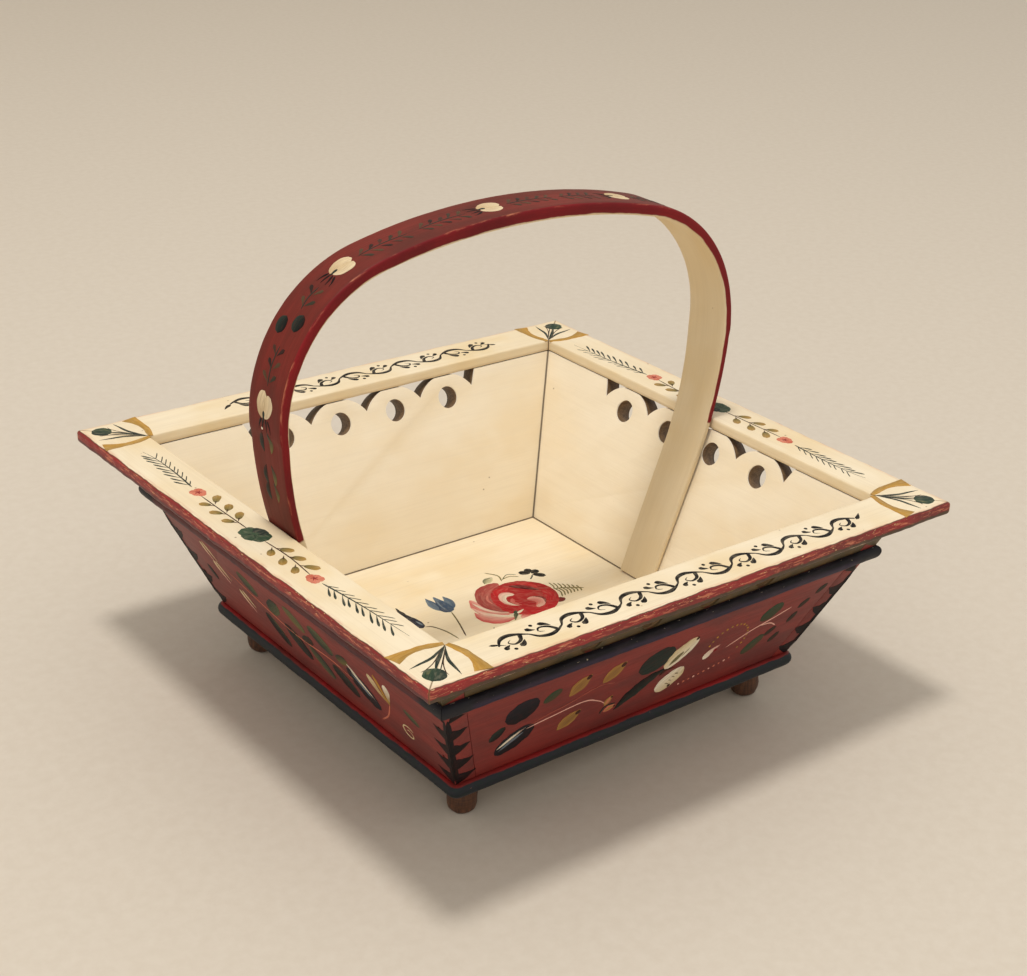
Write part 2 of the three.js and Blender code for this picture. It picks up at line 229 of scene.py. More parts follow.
def wall_material():
    """Board vector: along, up the slope, depth from the outer face."""
    g = Graph("wall_paint")
    board = g.attribute("board")
    along, up, own_depth = g.split(board)
    reach = g.attribute("reach", "Fac")
    next_depth = g.times(g.math("SUBTRACT", reach, g.size(along)), UP_COS)
    depth = g.math("MINIMUM", own_depth, next_depth)
    marks = brushed(g, board)
    wobble = g.noise(board, (0.12, 0.12, 0.12), 3.0, at=(5, 5, 5))
    red = red_colour(g, board, marks)
    high = g.scale_add(wobble, 1.2, up)
    outer = g.mix(g.step(high, OLIVE_STRIP, 0.4), red,
                  g.mix(g.step(wobble, 0.5, 0.2), OLIVE_BROWN, rgb(70, 60, 36)))
    # painted light: the inner faces' cream is made paler than the same cream on the rim, standing in for
    # the light inside the basket
    inner = cream_colour(g, board, marks, 0.4)
    # painted highlight: a thin near-white line on the inner face's eased edges, round the board's top, ends
    # and holes
    eased_edge_highlight = g.times(g.step(own_depth, 9.35, 0.1), g.step(own_depth, 9.93, -0.03))
    inner = g.mix(eased_edge_highlight, inner, rgb(255, 252, 244), 0.7)
    cut = g.mix(g.step(marks, 0.5, 0.15), RAW_WOOD, rgb(104, 80, 56))
    colour = g.mix(g.step(g.scale_add(wobble, 1.0, depth), PAINT_WRAP, 0.25), outer, cut)
    inside = g.times(g.step(g.scale_add(wobble, 0.5, own_depth), 9.6, 0.12), g.step(next_depth, 2.0, 0.4))
    colour = g.mix(inside, colour, inner)
    crack = g.times(g.step(g.scale_add(wobble, 0.3, next_depth), 10.85, -0.25), inside)
    colour = g.mix(crack, colour, rgb(70, 48, 30), 0.7)
    rough = g.scale_add(marks, 0.25, 0.38)
    fine = g.bump(marks, 0.12, 0.6)
    return g.finish(colour, rough, g.bump(wobble, 0.35, 0.5, fine))


def rim_material(name, low, low_dark):
    """Board vector: along, across from the outer edge, up from the underside.
    low and low_dark colour the foot of the outer edge."""
    g = Graph(name)
    board = g.attribute("board")
    _, across, up = g.split(board)
    marks = brushed(g, board)
    wobble = g.noise(board, (0.16, 0.05, 0.05), 4.0, 0.6, at=(5, 5, 5))
    cream = cream_colour(g, board, marks)
    red = red_colour(g, board, marks, RED_BRIGHT, rgb(112, 34, 30))
    worn = g.noise(board, (0.09, 0.9, 0.9), 4.0, 0.7, at=(2, 9, 4))
    # a pale salmon streak along the middle of the outer edge face: partly paint worn to the primer, partly
    # painted highlight
    edge = g.times(g.step(worn, 0.56, 0.03), g.step(g.size(g.math("SUBTRACT", up, 3.6)), 1.5, -0.7))
    red = g.mix(edge, red, rgb(214, 126, 92), 0.75)
    flecks = g.noise(board, (0.35, 1.2, 1.2), 3.0, 0.7, at=(8, 1, 4))
    red = g.mix(g.step(flecks, 0.66, 0.02), red, rgb(222, 188, 132))
    under = g.mix(g.step(wobble, 0.5, 0.2), low, low_dark)
    under = g.mix(g.step(worn, 0.67, 0.02), under, rgb(150, 112, 66))
    drift = g.noise(board, (0.05, 0.02, 0.02), 3.0, 0.6, at=(9, 5, 5))
    line = g.scale_add(drift, 2.0, across)
    side = g.mix(g.step(g.scale_add(wobble, 2.4, up), RED_START, 0.35), under, red)
    blush = g.times(g.step(line, 3.0, -1.2), g.step(worn, 0.5, 0.08))
    top = g.mix(blush, cream, rgb(206, 130, 100), 0.45)
    colour = g.mix(g.step(line, CREAM_START, 0.12), side,
                   g.mix(g.step(line, 1.9, 0.15), rgb(92, 60, 40), top))
    inner_low = g.times(g.step(across, 24.9, 0.2), g.step(up, 1.2, -0.8))
    colour = g.mix(inner_low, colour, rgb(170, 140, 100), 0.35)
    colour = g.mix(g.times(g.step(up, 0.12, -0.1), g.step(across, 2.0, 0.5)), colour, under)
    joint = g.attribute("joint", "Fac")
    colour = g.mix(g.step(joint, 0.55, -0.35), colour, rgb(150, 112, 70), 0.55)
    rough = g.scale_add(marks, 0.25, 0.36)
    fine = g.bump(marks, 0.1, 0.6)
    return g.finish(colour, rough, g.bump(worn, 0.15, 0.4, fine))


def bead_material(name, base, other):
    """Board vector: along, up from the middle (-1 to 1), out. other is the colour below the middle."""
    g = Graph(name)
    board = g.attribute("board")
    along, up, _ = g.split(board)
    marks = brushed(g, board, 0.05, 1.2)
    patches = g.noise(board, (0.05, 0.4, 0.4), 4.0, 0.6)
    colour = g.mix(g.step(up, 0.1, -0.35), base, other)
    colour = g.mix(g.step(patches, 0.55, 0.1), colour, rgb(58, 44, 54), 0.4)
    dark = g.step(g.scale_add(patches, 8.0, g.size(along)), 118.0, 3.0)
    colour = g.mix(dark, colour, rgb(34, 34, 40))
    # pale cream flecks, kept to the upper half of the bead
    pale_fleck_noise = g.noise(board, (0.3, 2.0, 2.0), 3.0, 0.7, at=(5, 1, 7))
    pale_flecks_on_top = g.times(g.step(pale_fleck_noise, 0.705, 0.015), g.step(up, 0.25, 0.2))
    colour = g.mix(pale_flecks_on_top, colour, rgb(205, 190, 165))
    return g.finish(colour, g.scale_add(marks, 0.3, 0.36), g.bump(marks, 0.12, 0.6), Specular_IOR_Level=0.2)


def base_material():
    """Board vector: x, y and height above the underside; dist is the distance in from the edge."""
    g = Graph("bottom_board_paint")
    board = g.attribute("board")
    x, y, up = g.split(board)
    dist = g.attribute("dist", "Fac")
    marks = brushed(g, board)
    wobble = g.noise(board, (0.12, 0.12, 0.12), 3.0)
    cream = cream_colour(g, board, marks, 0.05)
    square = g.math("MAXIMUM", g.size(x), g.size(y))
    cream = g.mix(g.step(g.scale_add(wobble, 0.5, square), 90.0, 0.25), cream, rgb(84, 60, 38), 0.85)
    red = red_colour(g, board, marks, RED_BRIGHT)
    worn = g.noise(board, (0.25, 0.25, 0.6), 4.0, 0.7, at=(2, 9, 4))
    edge = g.mix(g.step(worn, 0.5, 0.2), GREEN_BLACK, rgb(36, 36, 46))
    edge = g.mix(g.step(worn, 0.71, 0.02), edge, rgb(190, 150, 110))
    under = g.mix(g.step(marks, 0.5, 0.15), rgb(150, 118, 82), rgb(112, 84, 56))
    ledge = g.step(g.scale_add(wobble, 1.2, up), 6.9, 0.25)
    colour = g.mix(ledge, edge, red)
    colour = g.mix(g.times(g.step(dist, 8.0, 0.5), g.step(up, 5.0, 0.3)), colour, cream)
    colour = g.mix(g.times(g.step(dist, 4.5, 1.0), g.step(up, 1.0, -0.3)), colour, under)
    return g.finish(colour, g.scale_add(marks, 0.25, 0.38), g.bump(marks, 0.1, 0.6),
                    Specular_IOR_Level=0.25)


def handle_material():
    """Board vector: along the strip from the crown, across it, depth from outer face (0) to inner (1)."""
    g = Graph("handle_paint")
    board = g.attribute("board")
    along, across, depth = g.split(board)
    stretched = g.scaled(board, (1, 1, 4))
    marks = brushed(g, stretched, 0.02, 1.2)
    wobble = g.noise(board, (0.1, 0.1, 0.5), 3.0, at=(5, 5, 5))
    outer = red_colour(g, stretched, marks, rgb(124, 40, 32), rgb(92, 36, 28))
    side = red_colour(g, stretched, marks, rgb(134, 22, 28), rgb(104, 18, 24))
    inner = cream_colour(g, stretched, marks)
    inner = g.mix(0.5, inner, rgb(196, 176, 140))
    edge = g.size(across)
    below_rim = g.step(g.scale_add(wobble, 1.5, g.size(along)), BURIED, 0.6)
    side = g.mix(below_rim, side, inner)
    colour = g.mix(g.step(g.scale_add(wobble, 0.8, edge), 13.2, 0.35), outer, side)
    # painted highlight: a broken pale orange line along both edges of the outer face
    on_top = g.times(g.step(depth, 0.2, -0.1), g.step(g.size(g.math("SUBTRACT", edge, 13.0)), 0.35, -0.25))
    edge_highlight_breakup = g.noise(board, (0.05, 0.3, 1.0), 4.0, 0.7, at=(9, 9, 9))
    colour = g.mix(g.times(on_top, g.step(edge_highlight_breakup, 0.58, 0.08)), colour, rgb(226, 150, 110), 0.5)
    colour = g.mix(g.step(g.scale_add(wobble, 0.25, depth), 0.98, 0.06), colour, inner)
    rough = g.scale_add(marks, 0.25, 0.42)
    return g.finish(colour, rough, g.bump(wobble, 0.3, 0.4, g.bump(marks, 0.12, 0.6)),
                    Specular_IOR_Level=0.2)


def foot_material():
    g = Graph("foot_stain")
    board = g.attribute("board")
    marks = g.noise(board, (0.9, 0.9, 0.12), 4.0, 0.6)
    rings = g.noise(board, (0.05, 0.05, 1.6), 2.0, 0.5)
    colour = g.mix(g.step(marks, 0.5, 0.2), rgb(104, 64, 38), rgb(62, 38, 24))
    colour = g.mix(g.step(rings, 0.55, 0.1), colour, rgb(50, 30, 22), 0.5)
    return g.finish(colour, g.scale_add(marks, 0.3, 0.35), g.bump(rings, 0.12, 0.5))


def stroke_material():
    """Paint laid with a brush: its own colour in bristle marks, drier at the end of the stroke."""
    g = Graph("brush_strokes")
    colour = g.attribute("paint", "Color")
    ground = g.attribute("ground", "Color")
    stroke = g.attribute("stroke")
    dry = g.attribute("dry", "Fac")
    bristle = g.noise(stroke, (0.12, 2.6, 1.0), 3.0, 0.6)
    soft = g.noise(stroke, (0.25, 0.7, 1.0), 2.0, 0.5, at=(5, 5, 5))
    deep = g.scaled(colour, (0.55, 0.5, 0.5))
    tone = g.mix(g.step(bristle, 0.54, 0.14), colour, deep, 0.55)
    tone = g.mix(g.step(soft, 0.58, 0.15), tone, ground, 0.10)
    bare = g.step(g.scale_add(dry, 0.36, bristle), 0.8, 0.05)
    tone = g.mix(bare, tone, ground, 0.85)
    return g.finish(tone, g.scale_add(bristle, 0.2, 0.4), g.bump(bristle, 0.06, 0.6),
                    Specular_IOR_Level=0.15)


def nail_material(name, base, rust):
    g = Graph(name)
    coords = g.node("TexCoord").outputs["Object"]
    patches = g.noise(coords, (900, 900, 900), 3.0, 0.6)
    return g.finish(g.mix(g.step(patches, 0.5, 0.12), base, rust), g.scale_add(patches, 0.4, 0.35),
                    g.bump(patches, 0.1, 0.5), Metallic=0.35)


# ------------------------------------------------------------------ meshes
FIELDS = {1: ("FLOAT", "value"), 3: ("FLOAT_VECTOR", "vector"), 4: ("FLOAT_COLOR", "color")}


def add_object(name, data):
    obj = bpy.data.objects.new(name, data)
    bpy.context.scene.collection.objects.link(obj)
    return obj


def build(name, verts, faces, material, slot, sharp, replaces=(), **fields):
    """A piece of the object from points in millimetres, with its faces turned outwards. fields are values
    for each point, of one, three or four numbers, that the materials read by name."""
    mesh = bpy.data.meshes.new(name)
    mesh.from_pydata((np.asarray(verts, float) * MM).tolist(), [], faces)
    for key, values in fields.items():
        values = np.asarray(values, np.float32)
        kind, field = FIELDS[1 if values.ndim == 1 else values.shape[1]]
        mesh.attributes.new(key, kind, "POINT").data.foreach_set(field, np.ravel(values))
    bm = bmesh.new()
    bm.from_mesh(mesh)
    bmesh.ops.recalc_face_normals(bm, faces=bm.faces)
    bm.to_mesh(mesh)
    bm.free()
    mesh.polygons.foreach_set("use_smooth", [True] * len(mesh.polygons))
    mesh.set_sharp_from_angle(angle=math.radians(sharp))
    mesh.materials.append(material)
    obj = add_object(name, mesh)
    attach(obj, "root")
    if replaces:
        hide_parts(*replaces)


def loft(rings):
    """Vertices and faces of a closed skin through rings of points, one after another."""
    rings = np.asarray(rings, float)
    n, m = rings.shape[:2]
    faces = [(i * m + j, i * m + (j + 1) % m, (i + 1) * m + (j + 1) % m, (i + 1) * m + j)
             for i in range(n - 1) for j in range(m)]
    faces += [tuple(range(m - 1, -1, -1)), tuple(range((n - 1) * m, n * m))]
    return rings.reshape(-1, 3), faces


def rounded_section(y0, y1, z0, z1, radii, seg, flats):
    """A rectangle's outline with rounded corners, from (y0, z0): flats is how many pieces each side has."""
    corners = [(y0, z0, math.pi), (y1, z0, 1.5 * math.pi), (y1, z1, 0), (y0, z1, 0.5 * math.pi)]
    points = []
    for (y, z, start), r, (sy, sz) in zip(corners, radii, [(1, 1), (-1, 1), (-1, -1), (1, -1)]):
        for i in range(seg + 1):
            a = start + 0.5 * math.pi * i / seg
            points.append((y + sy * r + r * math.cos(a), z + sz * r + r * math.sin(a)))
    out = []
    for i, p in enumerate(points):
        q = points[(i + 1) % len(points)]
        out.append(p)
        if (i + 1) % (seg + 1) == 0:
            count = flats[i // (seg + 1)]
            out += [(p[0] + (q[0] - p[0]) * k / count, p[1] + (q[1] - p[1]) * k / count)
                    for k in range(1, count)]
    return np.array(out)


def ripple(points, amount, scale, offset=0.0):
    """Small hand-made unevenness: one noise value for each point, times amount."""
    return np.array([amount * noise.noise(Vector((p[0] * scale + offset, p[1] * scale, p[2] * scale)))
                     for p in points])


def normals_2d(section):
    """The outward direction at each point of an outline."""
    d = np.roll(section, -1, 0) - np.roll(section, 1, 0)
    n = np.stack([d[:, 1], -d[:, 0]], 1)
    return n / np.maximum(np.linalg.norm(n, axis=1, keepdims=True), 1e-9)


END_FADE, MITRE_GAP = 40, 0.15


def mitred_bar(section, side, stations, uneven):
    """A moulding along one side, mitred at its ends, with unevenness pushed out square to its section."""
    t = np.linspace(-1, 1, stations)
    out = normals_2d(section)
    reach = np.abs(section[:, 0]) - MITRE_GAP
    rings = np.array([np.stack([u * reach, section[:, 0], section[:, 1]], 1) for u in t])
    flat = rings.reshape(-1, 3)
    push = uneven(flat).reshape(stations, -1)
    push = push * np.clip((1 - np.abs(t)) * END_FADE, 0, 1)[:, None]
    rings[..., 1] += push * out[:, 0]
    rings[..., 2] += push * out[:, 1]
    verts, faces = loft(rings)
    return turn(verts, side), faces, rings.reshape(-1, 3)


wall_paint, base_paint, stroke_paint = wall_material(), base_material(), stroke_material()
handle_paint, foot_stain = handle_material(), foot_material()
rim_sides = rim_material("rim_paint", rgb(80, 60, 32), rgb(64, 36, 26))
rim_ends = rim_material("rim_paint_ends", rgb(104, 26, 30), rgb(82, 22, 26))
bead_dark = bead_material("bead_paint_dark", BLUE_BLACK, VIOLET)
bead_red = bead_material("bead_paint_red", rgb(96, 46, 44), rgb(84, 40, 44))


WALL_EASE, HARD_ANGLE = 0.0006, math.radians(35)  # the ease is in metres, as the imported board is


def wall_piece(side, name):
    """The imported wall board, welded, with its sharp edges eased."""
    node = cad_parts["wall_" + name]
    bm = bmesh.new()
    bm.from_mesh(node.data)
    bmesh.ops.remove_doubles(bm, verts=bm.verts, dist=1e-6)
    bmesh.ops.dissolve_limit(bm, angle_limit=math.radians(1.0), verts=bm.verts, edges=bm.edges)
    hard = [e for e in bm.edges if len(e.link_faces) == 2 and e.calc_face_angle() > HARD_ANGLE]
    bmesh.ops.bevel(bm, geom=hard, offset=WALL_EASE, segments=2, profile=0.6, affect="EDGES",
                    clamp_overlap=True)
    bmesh.ops.triangulate(bm, faces=[f for f in bm.faces if len(f.verts) > 4])
    verts = np.array([v.co for v in bm.verts]) / MM
    faces = [tuple(v.index for v in f.verts) for f in bm.faces]
    bm.free()
    local = turn(verts, (4 - side) % 4)
    rise = local[:, 2] - FLOOR_Z
    out = -local[:, 1] - WALL_FOOT
    board = np.stack([local[:, 0], rise * UP_COS + out * UP_SIN, rise * UP_SIN - out * UP_COS], 1)
    reach = WALL_FOOT + rise * LEAN
    build("wall_board_" + name, verts, faces, wall_paint, "wall", 35, ["wall_" + name], board=board,
          reach=reach)


RIM_ROUNDS = (2.3, 0.7, 0.9, 1.6)  # outer edge below, inner below, inner above, outer above
# The rim's outer edge hangs a little below the board.
LIP_START, LIP_FADE, LIP_HIGH, LIP_DROP = 143.5, 3.0, 2.5, 1.1


def rim_piece(side, name):
    section = rounded_section(-RIM_HALF, RIM_WIDTH - RIM_HALF, WALL_TOP_Z, RIM_TOP_Z, RIM_ROUNDS, 4,
                              (6, 3, 12, 3))
    lip = np.clip((-section[:, 0] - LIP_START) / LIP_FADE, 0, 1) * (section[:, 1] < WALL_TOP_Z + LIP_HIGH)
    section[:, 1] -= LIP_DROP * lip

    def rim_uneven(p):
        seed = side * 31.0
        edge = np.clip((np.abs(p[:, 1]) - 147.5) / 2.5, 0, 1)
        inner = np.clip((126.0 - np.abs(p[:, 1])) / 1.5, 0, 1)
        wave = ripple(p, 0.5, 0.035, seed) + ripple(p, 0.32, 0.2, seed + 9)
        return wave * np.maximum(edge, 0.5 * inner) + ripple(p, 0.05, 0.08, seed)

    verts, faces, local = mitred_bar(section, side, 260, rim_uneven)
    board = np.stack([local[:, 0], RIM_HALF + local[:, 1], local[:, 2] - WALL_TOP_Z], 1)
    joint = np.abs(local[:, 1]) - np.abs(local[:, 0])
    build("rim_board_" + name, verts, faces, rim_ends if side % 2 else rim_sides, "rim", 50,
          ["rim_" + name], board=board + [400 * side, 0, 0], joint=joint)


BEAD_STEPS, BEAD_ROOT = 14, 0.3  # the root keeps the half round's flat side just clear of the wall


def bead_piece(side, name):
    centre_z = FLOOR_Z + BEAD_CENTRE * UP_COS
    angles = -math.pi / 2 + math.pi * np.arange(BEAD_STEPS + 1) / BEAD_STEPS
    up = BEAD_HALF * np.sin(angles) * 0.99
    out = BEAD_ROOT + BEAD_PROUD * np.cos(angles) ** 0.8
    section = np.stack([-wall_out(centre_z) - up * UP_SIN - out * UP_COS,
                        centre_z + up * UP_COS - out * UP_SIN], 1)[::-1]

    def bead_uneven(p):
        seed = side * 17.0
        return ripple(p, 0.3, 0.04, seed) + ripple(p, 0.16, 0.22, seed + 5)

    verts, faces, local = mitred_bar(section, side, 200, bead_uneven)
    board = np.stack([local[:, 0], (local[:, 2] - centre_z) / BEAD_HALF, local[:, 1]], 1)
    build("bead_moulding_" + name, verts, faces, bead_red if side % 2 else bead_dark, "bead", 50,
          ["bead_" + name], board=board)


for side, name in enumerate(SIDES):
    wall_piece(side, name)
    rim_piece(side, name)
    bead_piece(side, name)


def square_loop(half, radius, z, per_corner=7, per_side=60):
    """Points round a square with rounded corners, at height z."""
    points = []
    for k in range(4):
        for i in range(per_corner):
            a = math.radians(-90 + 90 * i / (per_corner - 1))
            points.append(turn([(half - radius + radius * math.cos(a),
                                 -half + radius + radius * math.sin(a), z)], k)[0])
        start, end = points[-1], turn([(half - radius, -half, z)], (k + 1) % 4)[0]
        points += [start + (end - start) * j / per_side for j in range(1, per_side)]
    return np.array(points)


def bottom_board():
    """One loop of points for each step of the rounded edge, each pushed out and in a little."""
    flat_inset, corner, edge_corner = 14, 3, 3.5
    middle, half_thick = (BASE_BOTTOM + FLOOR_Z) / 2, (FLOOR_Z - BASE_BOTTOM) / 2
    insets = [(flat_inset, corner, BASE_BOTTOM), (BASE_ROUND, corner, BASE_BOTTOM)]
    for degrees in np.linspace(-80, 80, 9):
        a = math.radians(degrees)
        insets.append((BASE_ROUND * (1 - math.cos(a)), edge_corner, middle + half_thick * math.sin(a)))
    insets += [(BASE_ROUND, corner, FLOOR_Z), (flat_inset, corner, FLOOR_Z)]
    loops = np.array([square_loop(BASE_HALF - inset, radius, z) for inset, radius, z in insets])
    flat = loops.reshape(-1, 3)
    push = (ripple(flat, 0.35, 0.04, 3) + ripple(flat, 0.2, 0.2, 8)).reshape(loops.shape[:2])
    for loop, amount in zip(loops[2:-2], push[2:-2]):
        flat_part = loop[:, :2].copy()
        loop[:, :2] += flat_part / np.maximum(np.abs(flat_part).max(1, keepdims=True), 1) * amount[:, None]
    verts, faces = loft(loops)
    dist = np.repeat([inset for inset, _, _ in insets], loops.shape[1])
    build("bottom_board_shaped", verts, faces, base_paint, "bottom_board", 40, ["bottom_board"],
          board=verts - [0, 0, BASE_BOTTOM], dist=dist)


bottom_board()

FEET = {"foot_front_left": (-1, -1), "foot_front_right": (1, -1), "foot_back_right": (1, 1),
        "foot_back_left": (-1, 1)}
FOOT_PROFILE = [(3.4, 0), (5.2, 0.5), (6.3, 1.7), (6.9, 3.8), (7.15, 6.5), (7.1, 9), (6.8, 12), (6.3, 15),
                (5.9, 17), (5.8, 18.3), (5.4, 18.45)]
FOOT_SEGMENTS = 32


def foot(name, sx, sy):
    """A turned foot, a little different from the others."""
    squash_x, squash_y = [1 + rng.uniform(-0.04, 0.04) for _ in range(2)]
    a = np.linspace(0, 2 * math.pi, FOOT_SEGMENTS, endpoint=False)
    rings = []
    for r, z in FOOT_PROFILE:
        wave = 1 + 0.02 * np.sin(2 * a + rng.uniform(0, 6)) + 0.01 * np.sin(5 * a + z)
        rings.append(np.stack([r * squash_x * wave * np.cos(a), r * squash_y * wave * np.sin(a),
                               np.full(FOOT_SEGMENTS, z)], 1))
    verts, faces = loft(rings)
    build(name + "_turned", verts + [sx * FOOT_INSET, sy * FOOT_INSET, 0], faces, foot_stain, "foot", 40,
          [name],
          board=verts + [20 * sx, 20 * sy, 0])


for name, (sx, sy) in FEET.items():
    foot(name, sx, sy)


# Handle: the outer face's line in XZ, from the foot of the right leg up to the crown.
foot_z = FLOOR_Z + 0.3
foot_x = wall_out(foot_z) - WALL_THICK / UP_COS - 0.3
shoulder_x = HANDLE_SPAN - SHOULDER_R
crown_angle = math.asin(shoulder_x / (CROWN_R - SHOULDER_R))
widest_z = HANDLE_TOP - CROWN_R + (CROWN_R - SHOULDER_R) * math.cos(crown_angle)
side_r = ((widest_z - foot_z) * math.tan(LEG_LEAN) - (HANDLE_SPAN - foot_x)) / (1 / math.cos(LEG_LEAN) - 1)


def arc(cx, cz, r, a0, a1, count):
    a = np.linspace(a0, a1, count)
    return np.stack([cx + r * np.cos(a), cz + r * np.sin(a)], 1)


leg_top = np.array([HANDLE_SPAN - side_r * (1 - math.cos(LEG_LEAN)),
                    widest_z - side_r * math.sin(LEG_LEAN)])
half_line = np.concatenate([
    np.linspace([foot_x, foot_z], leg_top, 60)[:-1],
    arc(HANDLE_SPAN - side_r, widest_z, side_r, -LEG_LEAN, 0, 60)[:-1],
    arc(shoulder_x, widest_z, SHOULDER_R, 0, math.pi / 2 - crown_angle, 60)[:-1],
    arc(0, HANDLE_TOP - CROWN_R, CROWN_R, math.pi / 2 - crown_angle, math.pi / 2, 60)])
run = np.concatenate([[0], np.cumsum(np.linalg.norm(np.diff(half_line, axis=0), axis=1))])
HALF_RUN = run[-1]


def arch(s):
    """Point and outward normal on the handle's outer line, s millimetres along it right of the crown."""
    a = HALF_RUN - abs(s)
    x, z = np.interp(a, run, half_line[:, 0]), np.interp(a, run, half_line[:, 1])
    lo, hi = max(a - 1.5, 0), min(a + 1.5, HALF_RUN)
    dx = np.interp(hi, run, half_line[:, 0]) - np.interp(lo, run, half_line[:, 0])
    dz = np.interp(hi, run, half_line[:, 1]) - np.interp(lo, run, half_line[:, 1])
    if abs(s) < 1.5:
        dx, dz = -1, 0
    size = math.hypot(dx, dz)
    sign = 1 if s >= 0 else -1
    return np.array([sign * x, z]), np.array([sign * dz / size, -dx / size])


def handle_thickness(s):
    return LEG_THICK + CROWN_MORE * max((HALF_RUN - abs(s)) / HALF_RUN, 0) ** 0.6


def ramp(x):
    return min(max(x, 0), 1)


LEG_THICK, CROWN_MORE = 1.8, 4.4  # thickness at the leg's end, and how much more the crown has
SHAVE_START = HALF_RUN - 142.0  # where the outer face is shaved thinner towards the leg
SHAVE_DEPTH, SHAVE_RAMP, SHAVE_LENGTH, SHAVE_FADE = 0.75, 3.0, 75, 60
NARROW_START, NARROW_RAMP, NARROWED = 180, 60, 0.085


def shaved(s):
    """How much the outer face is cut back below the shoulder of each leg."""
    return (SHAVE_DEPTH * ramp((abs(s) - SHAVE_START) / SHAVE_RAMP)
            * ramp((SHAVE_START + SHAVE_LENGTH - abs(s)) / SHAVE_FADE))


HANDLE_STATIONS, HANDLE_EASE = 420, 1.1


def handle():
    """The bent strip: one ring across it at each station, from the left leg over the crown to the right."""
    rings, boards = [], []
    half_width = HANDLE_WIDTH / 2
    for s in np.linspace(-HALF_RUN, HALF_RUN, HANDLE_STATIONS):
        point, normal = arch(s)
        t = handle_thickness(s)
        ease = min(HANDLE_EASE, 0.42 * t)
        narrow = 1 - NARROWED * ramp((abs(s) - NARROW_START) / NARROW_RAMP)
        for y, d in rounded_section(-half_width, half_width, 0, t, (ease,) * 4, 3, (10, 3, 10, 3)):
            side_noise = (0.28 * noise.noise(Vector((s * 0.03, 3 if y > 0 else 8, 1)))
                          + 0.1 * noise.noise(Vector((s * 0.2, y, 2))))
            deep = d + shaved(s) * (1 - d / t) + 0.05 * noise.noise(Vector((s * 0.1, y * 0.2, d)))
            rings.append((point[0] - normal[0] * deep, y * narrow * (1 + side_noise / half_width),
                          point[1] - normal[1] * deep))
            boards.append((s, y, d / t))
    rings = np.array(rings).reshape(HANDLE_STATIONS, -1, 3)
    rings[..., 2] = np.maximum(rings[..., 2], FLOOR_Z + 0.2)
    verts, faces = loft(rings)
    build("handle_bent", verts, faces, handle_paint, "handle", 50, ["handle"], board=boards)


handle()


# ------------------------------------------------------------------ nail heads
def nail_axis(node):
    """Centre of a nail's head face and the way it points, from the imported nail."""
    p = np.array([v.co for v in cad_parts[node].data.vertices]) / MM
    centre = (p.min(0) + p.max(0)) / 2
    _, _, axes = np.linalg.svd(p - p.mean(0), full_matrices=False)
    axis = axes[0] / np.linalg.norm(axes[0])
    along = (p - centre) @ axis
    radius = np.linalg.norm((p - centre) - np.outer(along, axis), axis=1)
    if along[radius > SHANK_RADIUS].mean() < 0:
        axis, along = -axis, -along
    return centre + axis * along.max(), axis, along.max() - along.min()


NAIL_HEAD = [(0.05, 0.0), (0.5, -0.04), (0.9, -0.14), (1.15, -0.3), (1.2, -0.45), (1.15, -0.7),
             (0.55, -0.8)]
NAIL_SUNK = 0.2
SHANK_RADIUS = 0.9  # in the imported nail, points further out than this belong to the head


def nail_piece(node, material):
    """A hammered head, out of round, on a tapering shank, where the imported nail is."""
    head, axis, length = nail_axis(node)
    side_a = np.cross(axis, (0.3, 0.5, 0.81))
    side_a /= np.linalg.norm(side_a)
    side_b = np.cross(axis, side_a)
    shank = [(0.5, -length + 1.6), (0.05, -length + 0.6)]
    turn_by = rng.uniform(0, 6)
    rings = []
    for r, d in NAIL_HEAD + shank:
        a = np.linspace(0, 2 * math.pi, 16, endpoint=False)
        wave = r * (1 + 0.05 * np.sin(2 * a + turn_by) + 0.03 * np.sin(3 * a))
        rings.append(head + axis * (d - NAIL_SUNK) + np.outer(wave * np.cos(a), side_a)
                     + np.outer(wave * np.sin(a), side_b))
    verts, faces = loft(rings)
    build(node + "_hammered", verts, faces, material, "nail", 50, [node])


nail_paints = {
    "rim": nail_material("nail_under_cream_paint", CREAM_GREY, rgb(176, 140, 96)),
    "base": nail_material("nail_rusted", rgb(92, 70, 56), rgb(120, 72, 44)),
    "bead": nail_material("nail_under_dark_paint", rgb(52, 46, 54), rgb(96, 66, 52)),
    "corner": nail_material("nail_under_red_paint", rgb(112, 48, 40), rgb(84, 54, 42)),
    "handle": nail_material("nail_half_bare", rgb(232, 222, 200), rgb(96, 72, 50)),
}
for node in sorted(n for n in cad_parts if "_nail_" in n):
    nail_piece(node, nail_paints[node.split("_")[0]])


# ------------------------------------------------------------------ painted decoration
INK, BROWN_INK = rgb(11, 9, 10), rgb(66, 40, 26)
GREEN, GREEN_DEEP, SAGE = rgb(52, 76, 56), rgb(38, 52, 46), rgb(92, 98, 66)
OCHRE, GOLD, OLIVE = rgb(172, 136, 70), rgb(196, 148, 62), rgb(118, 108, 60)
ROSE, ROSE_DEEP, PINK, PINK_PALE = rgb(196, 22, 36), rgb(136, 20, 30), rgb(216, 100, 94), rgb(240, 186, 168)
SALMON, WHITE, CREAM_STROKE = rgb(214, 124, 98), rgb(246, 236, 212), rgb(226, 206, 160)
BLUE, BLUE_DEEP, STEEL = rgb(58, 84, 110), rgb(30, 36, 60), rgb(112, 128, 140)
GROUND_CREAM, GROUND_RED, GROUND_HANDLE = CREAM, rgb(132, 42, 36), rgb(120, 48, 42)

COLUMNS = np.array([-1.0, -0.72, -0.3, 0.3, 0.72, 1.0])
DOME = np.array([0.15, 0.7, 1.0, 1.0, 0.7, 0.15])
PAINT_BASE, PAINT_LAYER, PAINT_FILM, PAINT_ROOT = 0.05, 0.05, 0.1, -0.15  # heights over the painted face
STROKE_END, THINNEST = 0.06, 0.1  # half widths: a stroke's point, and the least that is made uneven

